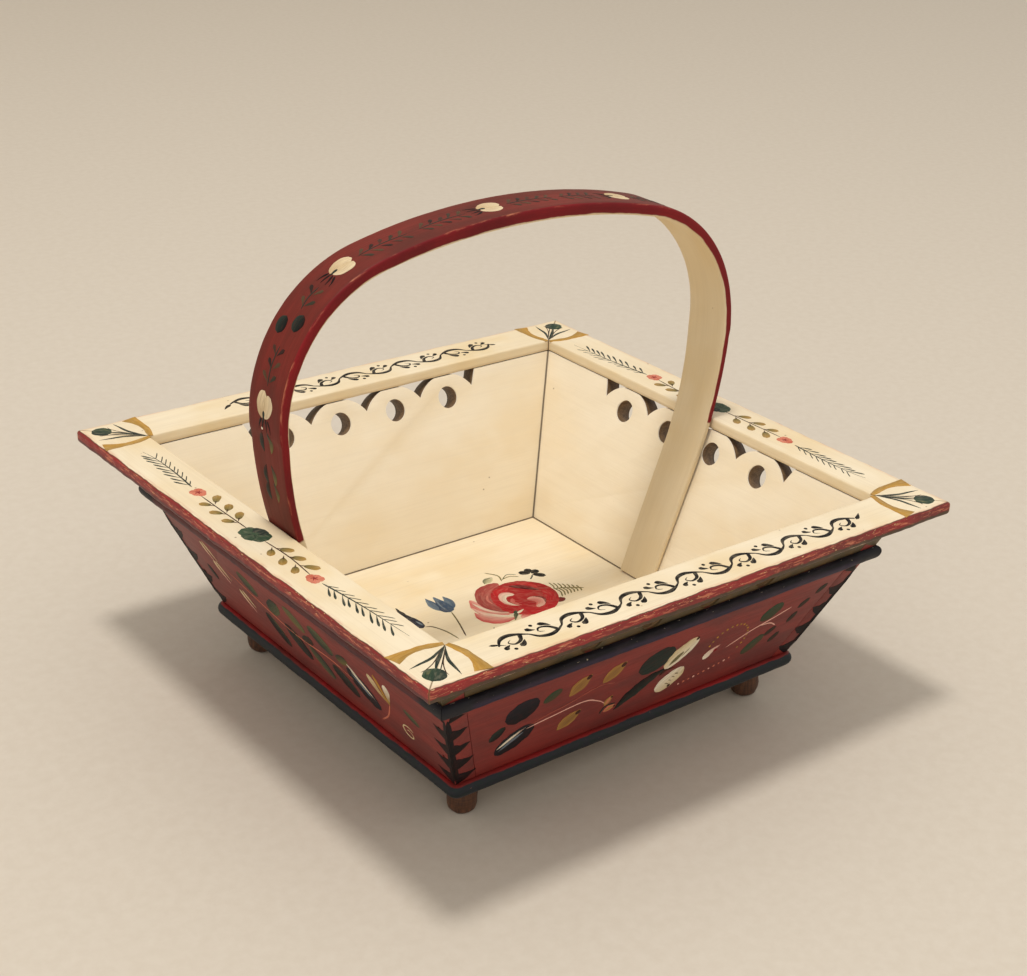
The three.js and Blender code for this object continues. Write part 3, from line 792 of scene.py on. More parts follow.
PROFILES = {
    "oval": lambda t: np.sqrt(np.clip(1 - (2 * t - 1) ** 2, 0, 1)),
    "leaf": lambda t: np.sin(math.pi * np.clip(t, 0, 1)) ** 0.85 * (1.12 - 0.3 * t),
    "comma": lambda t: np.where(t < 0.28, np.sqrt(np.clip(1 - (1 - t / 0.28) ** 2, 0, 1)),
                                np.clip((1 - t) / 0.72, 0, 1) ** 0.8),
    "tail": lambda t: np.clip(t / 0.06, 0, 1) ** 0.5 * (1 - t) ** 0.7,
    "pod": lambda t: np.sqrt(np.clip(1 - (2 * t - 1) ** 2, 0, 1)) * (1.15 - 0.4 * t),
    "line": lambda t: np.clip(np.minimum(t, 1 - t) / 0.12, 0, 1) ** 0.5,
    "swell": lambda t: 0.35 + 0.65 * np.sin(math.pi * t) ** 1.5,
    "band": lambda t: 0.42 + 0.58 * np.clip((0.45 - t) / 0.45, 0,
                                            1) ** 1.4 - 0.14 * np.clip((t - 0.8) / 0.2, 0, 1),
    "tooth": lambda t: np.clip(1 - t, 0.02, 1) ** 0.9,
}


def spline(points, spacing=0.9, least=8, most=40):
    """Even stations along a smooth curve through the points."""
    p = np.asarray(points, float)
    if len(p) == 2:
        dense = p[0] + (p[1] - p[0]) * np.linspace(0, 1, 40)[:, None]
    else:
        q = np.vstack([2 * p[0] - p[1], p, 2 * p[-1] - p[-2]])
        t = np.linspace(0, 1, 16, endpoint=False)[:, None]
        parts = []
        for a, b, c, d in zip(q, q[1:], q[2:], q[3:]):
            parts.append(0.5 * (2 * b + (c - a) * t + (2 * a - 5 * b + 4 * c - d) * t ** 2
                                + (3 * b - a - 3 * c + d) * t ** 3))
        dense = np.vstack(parts + [p[-1:]])
    s = np.concatenate([[0], np.cumsum(np.linalg.norm(np.diff(dense, axis=0), axis=1))])
    count = int(min(max(s[-1] / spacing, least), most))
    even = np.linspace(0, s[-1], count)
    return np.stack([np.interp(even, s, dense[:, 0]), np.interp(even, s, dense[:, 1])], 1), s[-1]


def blend_colour(a, b, t):
    a, b = np.asarray(a, float), np.asarray(b, float)
    return a + (b - a) * np.clip(t, 0, 1)[..., None]


class Painter:
    """Lays brush strokes on one face of the basket: place(u, v, h) gives the points h mm above it."""

    def __init__(self, place, ground):
        self.place, self.ground = place, np.asarray(ground)
        self.verts, self.faces, self.paint, self.stroke_at, self.dryness = [], [], [], [], []
        self.count = 0

    def stroke(self, points, width, colour, kind="leaf", dry=(0.1, 0.7), layer=0, second=None, how="along",
               uneven=0.07):
        """One stroke: middle line, width, colour, and a second colour along, across or at the core."""
        line, length = spline(points)
        n, m = len(line), len(COLUMNS)
        t = np.linspace(0, 1, n)
        seed = rng.uniform(0, 900)
        step = np.gradient(line, axis=0)
        step /= np.maximum(np.linalg.norm(step, axis=1, keepdims=True), 1e-9)
        across = np.stack([-step[:, 1], step[:, 0]], 1)
        half = np.maximum(width / 2 * PROFILES[kind](t), STROKE_END)
        shake = np.array([[noise.noise(Vector((x * length * 0.35, seed, side * 7))) for side in (-1, 1)]
                          for x in t]) * uneven * width
        widths = half[:, None] * COLUMNS + (np.where(COLUMNS < 0, shake[:, :1], shake[:, 1:])
                                            * np.abs(COLUMNS) * (half[:, None] > THINNEST))
        uv = line[:, None, :] + widths[..., None] * across[:, None, :]
        film = PAINT_FILM * min(1, 0.45 + width / 6)
        high = (PAINT_BASE + PAINT_LAYER * layer
                + film * DOME[None, :] * np.clip(half[:, None] / (width / 2), 0.15, 1))
        top = self.place(uv[..., 0], uv[..., 1], high).reshape(-1, 3)
        loop = [(i, 0) for i in range(n)] + [(n - 1, j) for j in range(1, m)]
        loop += [(i, m - 1) for i in range(n - 2, -1, -1)] + [(0, j) for j in range(m - 2, 0, -1)]
        edge = [i * m + j for i, j in loop]
        flat = uv.reshape(-1, 2)
        low = self.place(flat[edge, 0], flat[edge, 1], np.full(len(edge), PAINT_ROOT))
        start = self.count
        grid = [(start + i * m + j, start + i * m + j + 1, start + (i + 1) * m + j + 1,
                 start + (i + 1) * m + j) for i in range(n - 1) for j in range(m - 1)]
        first = start + n * m
        skirt = [(start + edge[k], start + edge[(k + 1) % len(edge)], first + (k + 1) % len(edge),
                  first + k) for k in range(len(edge))]
        self.faces += grid + skirt + [tuple(first + k for k in range(len(edge)))]
        tt = np.repeat(t[:, None], m, 1)
        if second is None:
            paint = np.broadcast_to(np.asarray(colour, float), (n, m, 4)).copy()
        elif how == "along":
            paint = blend_colour(colour, second, tt * 1.4 - 0.2)
        elif how == "across":
            paint = blend_colour(colour, second, (COLUMNS[None, :] + 1) / 2 + 0 * tt)
        else:
            inside = (1 - np.abs(COLUMNS)[None, :] * 1.6) * np.sin(math.pi * tt) * 1.8
            paint = blend_colour(colour, second, inside)
        dryness = dry[0] + (dry[1] - dry[0]) * tt
        at = np.stack([tt * length + seed, widths, np.full((n, m), seed * 0.37)], -1).reshape(-1, 3)
        self.verts += [top, low]
        self.paint += [paint.reshape(-1, 4), paint.reshape(-1, 4)[edge]]
        self.stroke_at += [at, at[edge]]
        self.dryness += [dryness.reshape(-1), dryness.reshape(-1)[edge]]
        self.count += n * m + len(edge)

    def dot(self, at, size, colour, **more):
        u, v = at
        self.stroke([(u - size / 2, v), (u + size / 2, v)], size, colour, "oval", (0, 0.2), **more)

    def done(self, name, slot):
        paint = np.vstack(self.paint)
        paint[:, 3] = 1
        build(name, np.vstack(self.verts), self.faces, stroke_paint, slot, 60, paint=paint,
              ground=np.broadcast_to(self.ground, paint.shape), stroke=np.vstack(self.stroke_at),
              dry=np.concatenate(self.dryness))


def polar(at, angle, distance):
    return (at[0] + distance * math.cos(angle), at[1] + distance * math.sin(angle))


def fern(p, base, tip, bend, bold, faint, colour=INK, barbs=9, length=8.0, curl=0.0):
    """A feather of barbs on a thin stem. bold is the side, +1 or -1, of the strong barbs."""
    base, tip = np.array(base, float), np.array(tip, float)
    axis = tip - base
    size = np.linalg.norm(axis)
    axis /= size
    left = np.array([-axis[1], axis[0]])
    stem = [base + axis * size * k + left * (bend * math.sin(math.pi * k) + curl * max(k - 0.7,
                                                                                       0) ** 2 * 12)
            for k in np.linspace(0, 1, 7)]
    p.stroke(stem, 0.9, colour, "tail", (0, 0.2))
    for side, strength in ((bold, 1.0), (-bold, faint)):
        if strength <= 0:
            continue
        for i in range(barbs):
            k = 0.06 + 0.72 * i / (barbs - 1) + rng.uniform(-0.012, 0.012)
            root = base + axis * size * k + left * bend * math.sin(math.pi * k)
            arc = 0.75 + 0.4 * math.sin(math.pi * (0.15 + 0.7 * k))
            reach = length * arc * (1 if strength == 1 else 0.72) * rng.uniform(0.85, 1.12)
            out = left * side * reach * 0.52
            end = root + axis * reach * 0.86 + out
            mid = root + axis * reach * 0.42 + out * 0.53
            width = 1.15 if strength == 1 else 0.5
            p.stroke([end, mid, root], width, colour, "comma" if strength == 1 else "line", (0.1, 0.5),
                     uneven=0.03)


def petiole_leaf(p, root, angle, size=7.0, width=3.3, colour=OCHRE, second=None):
    """A plump leaf with a dark comma where it joins its stem."""
    a, b = polar(root, angle, 1.8), polar(root, angle, 1.8 + size)
    mid = polar(polar(root, angle, 1.8 + size / 2), angle + math.pi / 2, rng.uniform(-0.4, 0.4))
    p.stroke([b, mid, a], width, colour, "pod", (0.0, 0.25), 0, second or OLIVE)
    p.stroke([polar(root, angle, 3.6), polar(root, angle, 1.6), root], 0.8, BROWN_INK, "comma", (0, 0.2), 1)


def lobed_flower(p, at, radius, colours, lobes=4, turn_by=0.0, stretch=1.0, vein=None, full=1.2):
    """Round petals about a centre, each laid with one stroke."""
    for k in range(lobes):
        a = turn_by + 2 * math.pi * k / lobes
        reach = radius * (stretch if abs(math.cos(a)) > 0.5 else 1.0)
        colour = colours[k % len(colours)]
        p.stroke([polar(at, a, reach), polar(at, a, reach * 0.45), polar(at, a, -radius * 0.1)],
                 radius * full, colour, "pod", (0, 0.2), k % 2)
    p.dot(at, radius * 0.7, colours[-1], layer=2)
    if vein is not None:
        for k in range(lobes):
            a = turn_by + 0.4 + 2 * math.pi * k / lobes
            p.stroke([polar(at, a, radius * 0.15), polar(at, a + 0.5, radius * 0.5)], 0.4, vein, "line",
                     (0.1, 0.4), 3)


def rim_place(side):
    """u along the side from its middle, v in from the outer edge."""
    return lambda u, v, h: turn(np.stack([u, v - RIM_HALF, RIM_TOP_Z + h + 0 * u], -1), side)


def garland_rail(side, name):
    """A dark four-lobed flower, leaves in pairs, small salmon flowers and a fern at each end."""
    p = Painter(rim_place(side), GROUND_CREAM)
    fern(p, (53.5, 13.2), (110.9, 17.5), 1.0, -1, 0.6, GREEN_DEEP, 10, 8.5, curl=0.4)
    fern(p, (-60.5, 14.3), (-108.4, 15.2), -1.0, 1, 0.6, GREEN_DEEP, 9, 8.0, curl=1.0)
    for u, v in ((-53.5, 14.0), (48.2, 12.8)):
        lobed_flower(p, (u, v), 3.6, [SALMON, rgb(216, 128, 104), rgb(206, 108, 84)], 5, rng.uniform(0, 1),
                     1.25, ROSE_DEEP)
        p.dot((u, v), 1.5, ROSE_DEEP, layer=3)
    for end, first, hand in ((-50.0, -8.0, -1), (45.0, 6.0, 1)):
        p.stroke([(first, 13.6), ((first + end) / 2, 13.9 + 0.6 * hand), (end, 13.2)], 0.6, BROWN_INK,
                 "line", (0, 0.2))
        for i in range(3):
            root = first + (end - first) * (0.22 + 0.25 * i)
            lean = 0.62 if hand > 0 else math.pi - 0.62
            petiole_leaf(p, (root, 14.0), lean, 7.4 + rng.uniform(-0.5, 0.8), 4.2)
            petiole_leaf(p, (root - hand * 1.5, 13.2), -lean, 7.0 + rng.uniform(-0.8, 0.5), 3.9)
    lobed_flower(p, (-1.7, 13.3), 6.2, [GREEN, GREEN_DEEP, rgb(60, 84, 62)], 4, 0.25, 1.35, rgb(28, 38, 34),
                 1.5)
    p.done("painting_rim_" + name, "rim")


SCROLL_STEP = 15.0


def scroll_rail(side, name, start, end):
    """A running scroll of thick and thin brush strokes between curls and dots, with no lettering."""
    p = Painter(rim_place(side), GROUND_CREAM)
    mid = 12.6
    count = int((end - start) / SCROLL_STEP)
    step = (end - start) / count
    p.stroke([(start - 3, mid + 2), (start, mid + 0.5), (start + 3, mid - 1.5)], 1.5, INK, "comma",
             (0, 0.2))
    solid = dict(dry=(0, 0.1), uneven=0.05)
    for i in range(count):
        u, flip = start + step * (i + 0.5), 1 if i % 2 == 0 else -1

        def at(x, y):
            return (u + step * x, mid + y * flip)
        p.stroke([at(-0.5, -0.8), at(-0.3, 3.2), at(0, 4.4), at(0.3, 2.8), at(0.5, 0.8)], 2.3, INK, "swell",
                 **solid)
        p.stroke([at(0.30, 2.8), at(0.16, -1.2), at(-0.08, -2.6), at(-0.2, -0.4), at(-0.06, 1.1)], 2.0, INK,
                 "tail", **solid)
        p.stroke([at(-0.02, -5.2), at(0.12, -4.2), at(0.26, -1.6)], 2.7, INK, "comma", **solid)
        p.stroke([at(-0.44, -4.8), at(-0.36, -3.2), at(-0.22, -2.0)], 2.4, INK, "comma", **solid)
        p.dot(at(-0.2, -5.8), 1.7, INK)
    p.stroke([(end, mid - 0.5), (end + 3, mid + 1.5), (end + 5.5, mid + 3.6)], 2.2, INK, "comma", **solid)
    p.done("painting_rim_" + name, "rim")


garland_rail(3, "left")
garland_rail(1, "right")
scroll_rail(0, "front", -108, 98)
scroll_rail(2, "back", -92, 72)


def corner_piece(index, name):
    """In one rail corner: two ochre bands, a green bud on a stem, and curved strokes each side of it."""
    def place(u, v, h):
        return turn(np.stack([u - RIM_HALF, v - RIM_HALF, RIM_TOP_Z + h + 0 * u], -1), index)
    p = Painter(place, GROUND_CREAM)
    for flip in (False, True):
        def at(x, y):
            return (y, x) if flip else (x, y)
        edge = [(1.3, 26.9), (8.0, 28.4), (16, 28.8), (25.6, 26.6)]
        p.stroke([at(*q) for q in edge], 8.2, OCHRE, "band", (0.0, 0.3), 0, GOLD, "across", uneven=0.03)
        p.stroke([at(25, 25), at(15.5, 20.0), at(8.5, 18.6), at(3.2, 17.6)][::-1], 1.5, GREEN_DEEP, "leaf",
                 (0, 0.2))
        p.stroke([at(24, 23), at(17, 14.5), at(13.8, 8.5), at(13.4, 5.6)], 0.45, BROWN_INK, "line",
                 (0.1, 0.3))
    p.stroke([(11.0, 11.6), (17, 17.8), (25.5, 25.5)], 1.8, GREEN_DEEP, "leaf", (0, 0.2))
    p.stroke([(25, 24.2), (18, 16.2), (12.4, 10.0)], 0.5, INK, "line", (0, 0.2))
    p.stroke([(5.3, 5.3), (8.7, 8.7), (12.4, 12.4)], 9.4, GREEN_DEEP, "oval", (0.0, 0.2), 0, GREEN,
             "across")
    p.stroke([(6.2, 10.4), (8.0, 11.4), (10.4, 12.6)], 1.5, SAGE, "comma", (0.1, 0.5), 1)
    p.done("painting_corner_" + name, "rim")


for index, name in enumerate(("front_left", "front_right", "back_right", "back_left")):
    corner_piece(index, name)


# ------------------------------------------------------------------ floor bouquet
def floor_place(u, v, h):
    return np.stack([u, v, FLOOR_Z + h + 0 * u], -1)


def bouquet():
    """A rose with its leaves, a tulip and a bud, with thin sprays round them."""
    p = Painter(floor_place, GROUND_CREAM)
    # thin sprays and a dark sprig behind the rose
    p.stroke([(19.5, 40.5), (23.0, 43.0), (27.4, 44.5)], 5.0, rgb(214, 208, 166), "leaf", (0.2, 0.6), 0,
             SAGE, "across")
    p.stroke([(29.0, 38.2), (30.8, 44.4), (26.9, 50.8)], 0.75, OLIVE, "line", (0.1, 0.4))
    p.stroke([(30.2, 39.7), (35.5, 40.2), (39.5, 37.4)], 0.6, OLIVE, "line", (0.1, 0.5))
    p.stroke([(30.0, 39.4), (35.4, 42.6), (39.7, 40.2)], 0.5, SAGE, "line", (0.1, 0.5))
    stalk, end = (46.0, 16.4), (60.4, 8.2)
    p.stroke([stalk, (53.0, 13.4), end], 0.8, OLIVE, "line", (0, 0.3))
    for k in range(7):
        t = 0.06 + 0.13 * k
        at = (stalk[0] + t * (end[0] - stalk[0]), stalk[1] + t * (end[1] - stalk[1]) + 3.2 * t * (1 - t))
        size = 1.0 - 0.75 * t
        p.stroke([(at[0] + 1.6 * size, at[1] + 7.2 * size), (at[0] + 1.4 * size, at[1] + 3.2 * size), at],
                 0.75, OLIVE, "line", (0, 0.3))
        p.stroke([(at[0] - 2.0 * size, at[1] - 9.6 * size), (at[0] + 0.6 * size, at[1] - 4.6 * size), at],
                 0.75, OLIVE, "line", (0, 0.3))
    p.stroke([(42.8, 31.5), (45.6, 33.6), (46.9, 35.4)], 0.8, GREEN_DEEP, "line")
    for a, b in (((46.6, 36.8), (42.0, 41.0)), ((47.4, 36.6), (52.8, 37.4)), ((47.2, 35.4), (52.2, 30.2)),
                 ((46.8, 37.2), (48.6, 42.2))):
        p.stroke([b, ((a[0] + b[0]) / 2, (a[1] + b[1]) / 2 + 0.3), a], 4.3, INK, "pod", (0, 0.2))
    # the rose: left petals first, then its round head, then the petals folded inside it
    p.stroke([(2.6, 30.8), (1.8, 20.5), (5.5, 11.5), (14.0, 6.2)], 9.0, PINK, "leaf", (0.1, 0.4), 0,
             PINK_PALE, "across")
    p.stroke([(-3.4, 18.5), (-2.2, 10.5), (3.4, 4.6), (12.0, 2.6)], 7.4, rgb(206, 70, 70), "leaf",
             (0.1, 0.4), 1, PINK_PALE, "across")
    p.stroke([(-1.8, 24.0), (0.0, 15.5), (5.5, 8.4), (13.0, 4.6)], 2.8, PINK_PALE, "leaf", (0.1, 0.6), 2,
             WHITE)
    p.stroke([(1.4, 27.0), (3.0, 18.5), (7.4, 11.6), (13.0, 8.0)], 2.0, WHITE, "leaf", (0.1, 0.6), 2,
             PINK_PALE)
    p.stroke([(25.6, 37.4), (15.9, 34.3), (10.2, 27.4), (8.6, 18.6), (12.0, 9.6)], 10.4, rgb(160, 58, 54),
             "oval", (0.0, 0.3), 2, rgb(188, 92, 84), "across")
    p.stroke([(14.6, 31.6), (10.0, 25.0), (10.0, 17.6)], 2.0, rgb(206, 116, 104), "leaf", (0.2, 0.8), 3)
    p.stroke([(14, 2.5), (18, -1.5), (23, -2.5)], 5.0, PINK_PALE, "comma", (0.2, 0.5), 1, PINK, "across")
    p.stroke([(43.6, 7.0), (41.8, 4.2), (38.4, 4.4)], 4.6, ROSE_DEEP, "comma", (0.1, 0.4), 1,
             rgb(110, 34, 28), "across")
    centre, head = (27.6, 17.0), 18.2
    p.stroke([polar(centre, 2.4, head), centre, polar(centre, 2.4, -head)], 2 * head, ROSE, "oval",
             (0.0, 0.1), 3, rgb(168, 8, 22), "across", uneven=0.02)
    for k in range(5):
        a = 0.9 + k * 1.25
        p.stroke([polar(centre, a + d, head * 0.74) for d in (-0.55, 0, 0.55)], 7.0, rgb(192, 16, 30),
                 "leaf", (0.0, 0.3), 4, ROSE, "across")
    p.stroke([(28.2, 31.4), (34.0, 26.4), (39.2, 19.2)], 4.4, rgb(78, 14, 20), "leaf", (0.0, 0.3), 6,
             ROSE_DEEP, "across")
    p.stroke([(25.2, 22.4), (20.2, 24.8), (16.4, 20.2), (17.4, 14.2), (20.4, 11.4)], 4.9, PINK_PALE,
             "comma", (0.05, 0.6), 6, WHITE, "across")
    p.stroke([(27.4, 14.6), (31.6, 11.8), (31.4, 7.6), (26.6, 5.0)], 5.6, PINK, "pod", (0.1, 0.7), 6,
             PINK_PALE, "across")
    p.stroke([(21.5, 19.5), (19.5, 15.5), (21.5, 11)], 2.6, PINK, "comma", (0.2, 0.8), 7)
    p.stroke([(32.0, 15.6), (35.4, 11), (33.0, 5.6)], 1.6, ROSE_DEEP, "leaf", (0.1, 0.5), 7)
    p.stroke([(15.4, 8.2), (12.6, 4.6), (9.2, 0.6)], 2.6, GREEN, "comma", (0, 0.3), 7, SAGE)
    p.stroke([(19.4, 7.0), (14, 5.6), (10, 6.6)], 1.8, WHITE, "leaf", (0.1, 0.6), 7)
    # small sprigs low on the left
    p.stroke([(-4, 1), (-6.5, -3), (-8, -9)], 0.6, SAGE, "line")
    for k in range(3):
        p.stroke([(-6 - k, -2 - 2.4 * k), (-9 - k, -1 - 2.4 * k)], 0.5, SAGE, "line")
        p.stroke([(-6 - k, -3 - 2.4 * k), (-4 - k, -5 - 2.4 * k)], 0.5, SAGE, "line")
    p.stroke([(14, -5), (17, -6.5), (19, -5)], 0.5, SAGE, "line")
    # tulip and bud
    for tip, root, width in (((-15.4, 45.2), (-13.2, 27.4), 5.0), ((-11.0, 44.2), (-12.2, 27.0), 5.0),
                             ((-6.6, 42.0), (-11.6, 27.4), 5.0)):
        middle = (0.5 * (tip[0] + root[0]) + 0.35 * (tip[0] + 10.8), 0.42 * tip[1] + 0.58 * root[1])
        p.stroke([root, middle, tip], width, BLUE, "leaf", (0, 0.2), 1, STEEL, "across")
    p.stroke([(-12.6, 26.2), (-12.2, 33), (-11.4, 39.4)], 8.0, BLUE, "pod", (0, 0.15), 2, rgb(46, 66, 92),
             "across")
    p.stroke([(-13.6, 29), (-13.4, 34), (-12.4, 39)], 0.9, STEEL, "line", (0.2, 0.7), 3)
    p.stroke([(-12.3, 26.4), (-15.6, 15.4), (-20.8, 1.6)], 0.75, OLIVE, "line", (0, 0.2), 0, BROWN_INK)
    p.stroke([(-33.6, 20.4), (-34.0, 28), (-34.6, 36), (-33.6, 45.2)], 6.2, BLUE_DEEP, "comma", (0, 0.3), 1,
             INK)
    p.stroke([(-32.4, 22.5), (-33.0, 27), (-33.8, 32)], 1.5, STEEL, "comma", (0.1, 0.7), 2)
    p.stroke([(-32.2, 20.8), (-29.0, 18.6), (-26.2, 11), (-25.2, 1.6)], 0.75, BROWN_INK, "line", (0, 0.2),
             0, OLIVE)
    # faint sprays left of the bud, and a fern with two leaves low down, where the front wall hides them
    p.stroke([(-52, 33), (-48, 24), (-45, 12)], 0.5, SAGE, "line")
    for k in range(4):
        p.stroke([(-51 + k, 30 - 4.4 * k), (-55 + k, 30 - 4.4 * k)], 0.45, SAGE, "line")
    fern(p, (12, -10), (2, -48), 2.5, 1, 0.7, OLIVE, 8, 7)
    petiole_leaf(p, (9, -22), 0.5, 7, 3.4, SAGE, GREEN)
    petiole_leaf(p, (6, -34), 3.4, 7, 3.4, SAGE, GREEN)
    p.done("painting_floor", "bottom_board")


bouquet()


# ------------------------------------------------------------------ outside panels
def panel_place(side):
    """u along the panel from its middle, v up the slope from its foot."""
    def place(u, v, h):
        out = WALL_FOOT + v * UP_SIN + h * UP_COS
        return turn(np.stack([u, -out, FLOOR_Z + v * UP_COS - h * UP_SIN], -1), side)
    return place


def corner_teeth(p, hand):
    """The dark band up one edge of a panel, and its saw teeth."""
    def edge(v):
        return WALL_FOOT + v * UP_SIN
    line = [(hand * (edge(v) - 1.0), v) for v in (1, 12, 26, 40, 54.5)]
    p.stroke(line, 2.6, INK, "line", (0, 0.15), 0, BLUE_BLACK)
    for k, v in enumerate((3.0, 15.0, 27.5, 40.0)):
        reach = 9.0 - 0.4 * k + rng.uniform(-0.4, 0.4)
        base, tip = (hand * (edge(v) - 0.6), v + 1.0), (hand * (edge(v) - reach - 1.0), v + 4.6)
        p.stroke([base, ((base[0] + tip[0]) / 2, v + 2.0), tip], 9.6, INK, "tooth", (0, 0.2), 0, BLUE_BLACK,
                 "across")
    p.stroke([(hand * (edge(52) - 1), 54.6), (hand * (edge(52) - 9), 55.2)], 5.5, INK, "tooth", (0, 0.2))


def dark_oval(p, at, angle, size, width, colour, highlight=None, second=None):
    a, b = polar(at, angle, -size / 2), polar(at, angle, size / 2)
    p.stroke([a, at, b], width, colour, "oval", (0, 0.3), 0, second or GREEN_DEEP, "across")
    if highlight is not None:
        for side, share, tone in ((0.22, 0.17, highlight), (0.04, 0.2, STEEL)):
            off = polar(at, angle + math.pi / 2, width * side)
            p.stroke([polar(off, angle, -size * 0.4), polar(off, angle + 1.57, 0.4),
                      polar(off, angle, size * 0.34)], width * share, tone, "leaf", (0.2, 0.8), 1)


def leaf_with_eye(p, at, angle, size, width, colour, second):
    a, b = polar(at, angle, -size / 2), polar(at, angle, size / 2)
    p.stroke([a, polar(at, angle + 1.57, 0.5), b], width, colour, "leaf", (0, 0.35), 1, second, "core")
    p.dot(polar(at, angle, size * 0.36), width * 0.34, BROWN_INK, layer=2)


def bright_panel(side, name):
    """The front and back panels: dark ovals and eyed leaves on runners, pale pods and a ring of dots."""
    p = Painter(panel_place(side), GROUND_RED)
    corner_teeth(p, -1)
    corner_teeth(p, 1)
    stem = dict(dry=(0.1, 0.6), layer=1, uneven=0.02)
    p.stroke([(-70, 26), (-60, 29), (-50, 31), (-34, 36), (-24, 34)], 0.5, rgb(176, 96, 80), "line", **stem)
    p.stroke([(-72, 24), (-58, 26), (-40, 28), (-30, 24), (-24, 19)], 0.7, PINK_PALE, "line", **stem)
    dark_oval(p, (-87.7, 28.5), 0.9, 10, 6.0, INK)
    dark_oval(p, (-77.6, 39.7), 0.35, 18, 15.5, BLUE_BLACK, None, rgb(28, 32, 40))
    dark_oval(p, (-75.5, 18.8), 0.65, 22, 13.5, BLUE_BLACK, WHITE, rgb(28, 34, 42))
    dark_oval(p, (-62.1, 42.6), 0.6, 10.5, 6.4, rgb(78, 66, 44), None, GREEN)
    for at, angle in (((-46.6, 42.7), 0.9), ((-27.1, 42.6), 0.8), ((-44.4, 17.4), 0.75)):
        leaf_with_eye(p, at, angle, 14.6, 9.2, rgb(170, 126, 66), rgb(148, 110, 60))
    leaf_with_eye(p, (-22.5, 20.5), 1.2, 7.0, 4.0, OCHRE, SALMON)
    leaf_with_eye(p, (-19.5, 13.5), 0.3, 7.4, 4.2, SALMON, OCHRE)
    p.stroke([(-25, 12), (-23, 16.5), (-17, 16.2)], 1.0, GREEN_DEEP, "line", layer=2)
    dark_oval(p, (-0.5, 38.5), 0.35, 21, 15.5, GREEN_DEEP, None, rgb(34, 44, 40))
    p.stroke([(-16, 10.5), (-8, 19), (1, 26), (9, 29)], 9.0, GREEN_DEEP, "leaf", (0, 0.35), 0, INK,
             "across")
    p.stroke([(7.5, 29), (13, 36), (18, 41), (22.5, 45)], 11.0, WHITE, "oval", (0, 0.25), 1, CREAM_STROKE,
             "across")
    p.stroke([(9.5, 30.5), (13.5, 35.5), (17, 39.5)], 3.8, rgb(120, 112, 78), "leaf", (0.1, 0.5), 2)
    p.stroke([(14.6, 33.5), (17.4, 37.2), (20.0, 40.6)], 1.2, rgb(140, 128, 92), "leaf", (0.1, 0.6), 2)
    p.dot((21.6, 44.6), 2.0, BROWN_INK, layer=3)
    p.stroke([(9.0, 11.5), (12.6, 15.6), (17.5, 20), (21.5, 24.5)], 12.0, CREAM_STROKE, "oval", (0, 0.25),
             1, WHITE, "across")
    for k in range(4):
        p.stroke([(11.6 + 1.5 * k, 16.4 + 2.0 * k), (14.2 + 1.3 * k, 15.6 + 1.9 * k),
                  (17.0 + 1.2 * k, 13.6 + 2.2 * k)], 1.0, rgb(112, 98, 62), "leaf", (0.1, 0.5), 2)
    p.dot((16.5, 13.2), 2.0, BROWN_INK, layer=3)
    p.stroke([(6, 25), (9.5, 27.5), (15, 27)], 1.8, BROWN_INK, "comma", layer=3)
    # the comma flower, its row and ring of dots and the runner to the right
    p.stroke([(33.5, 24), (36.5, 28.5), (41.5, 31.5)], 4.6, WHITE, "comma", (0, 0.5), 1, PINK_PALE)
    p.dot((39.4, 28.6), 2.6, ROSE_DEEP, layer=3)
    for k in range(11):
        p.dot((24 + 3.0 * k, 10.5 + 0.42 * k + 0.016 * k * k), 1.1 + 0.3 * (k % 2),
              SALMON if k % 3 else PINK_PALE)
    for k in range(16):
        a = 2.9 - 0.235 * k
        p.dot((46 + 12.5 * math.cos(a), 30.5 + 12.5 * math.sin(a)), 1.25, OCHRE if k % 2 else GOLD)
    p.stroke([(47, 27), (60, 33.0), (72, 36.6), (84, 40.5)], 0.8, PINK_PALE, "line", **stem)
    p.stroke([(66, 34.6), (73, 33.5), (78, 30)], 0.7, PINK_PALE, "line", **stem)
    dark_oval(p, (69.9, 42.6), 0.55, 14.5, 9.4, rgb(64, 66, 42), None, GREEN)
    dark_oval(p, (67.5, 20.2), 0.75, 15.0, 7.4, rgb(84, 72, 48), None, GREEN)
    for at, angle in (((88.7, 31.4), 1.0), ((92.6, 40), 0.7), ((82, 19.5), 0.8), ((76.5, 26.2), 0.6),
                      ((101, 47), 0.7)):
        dark_oval(p, at, angle, 8.0, 4.0, BROWN_INK, None, GREEN_DEEP)
    p.done("painting_wall_" + name, "wall")


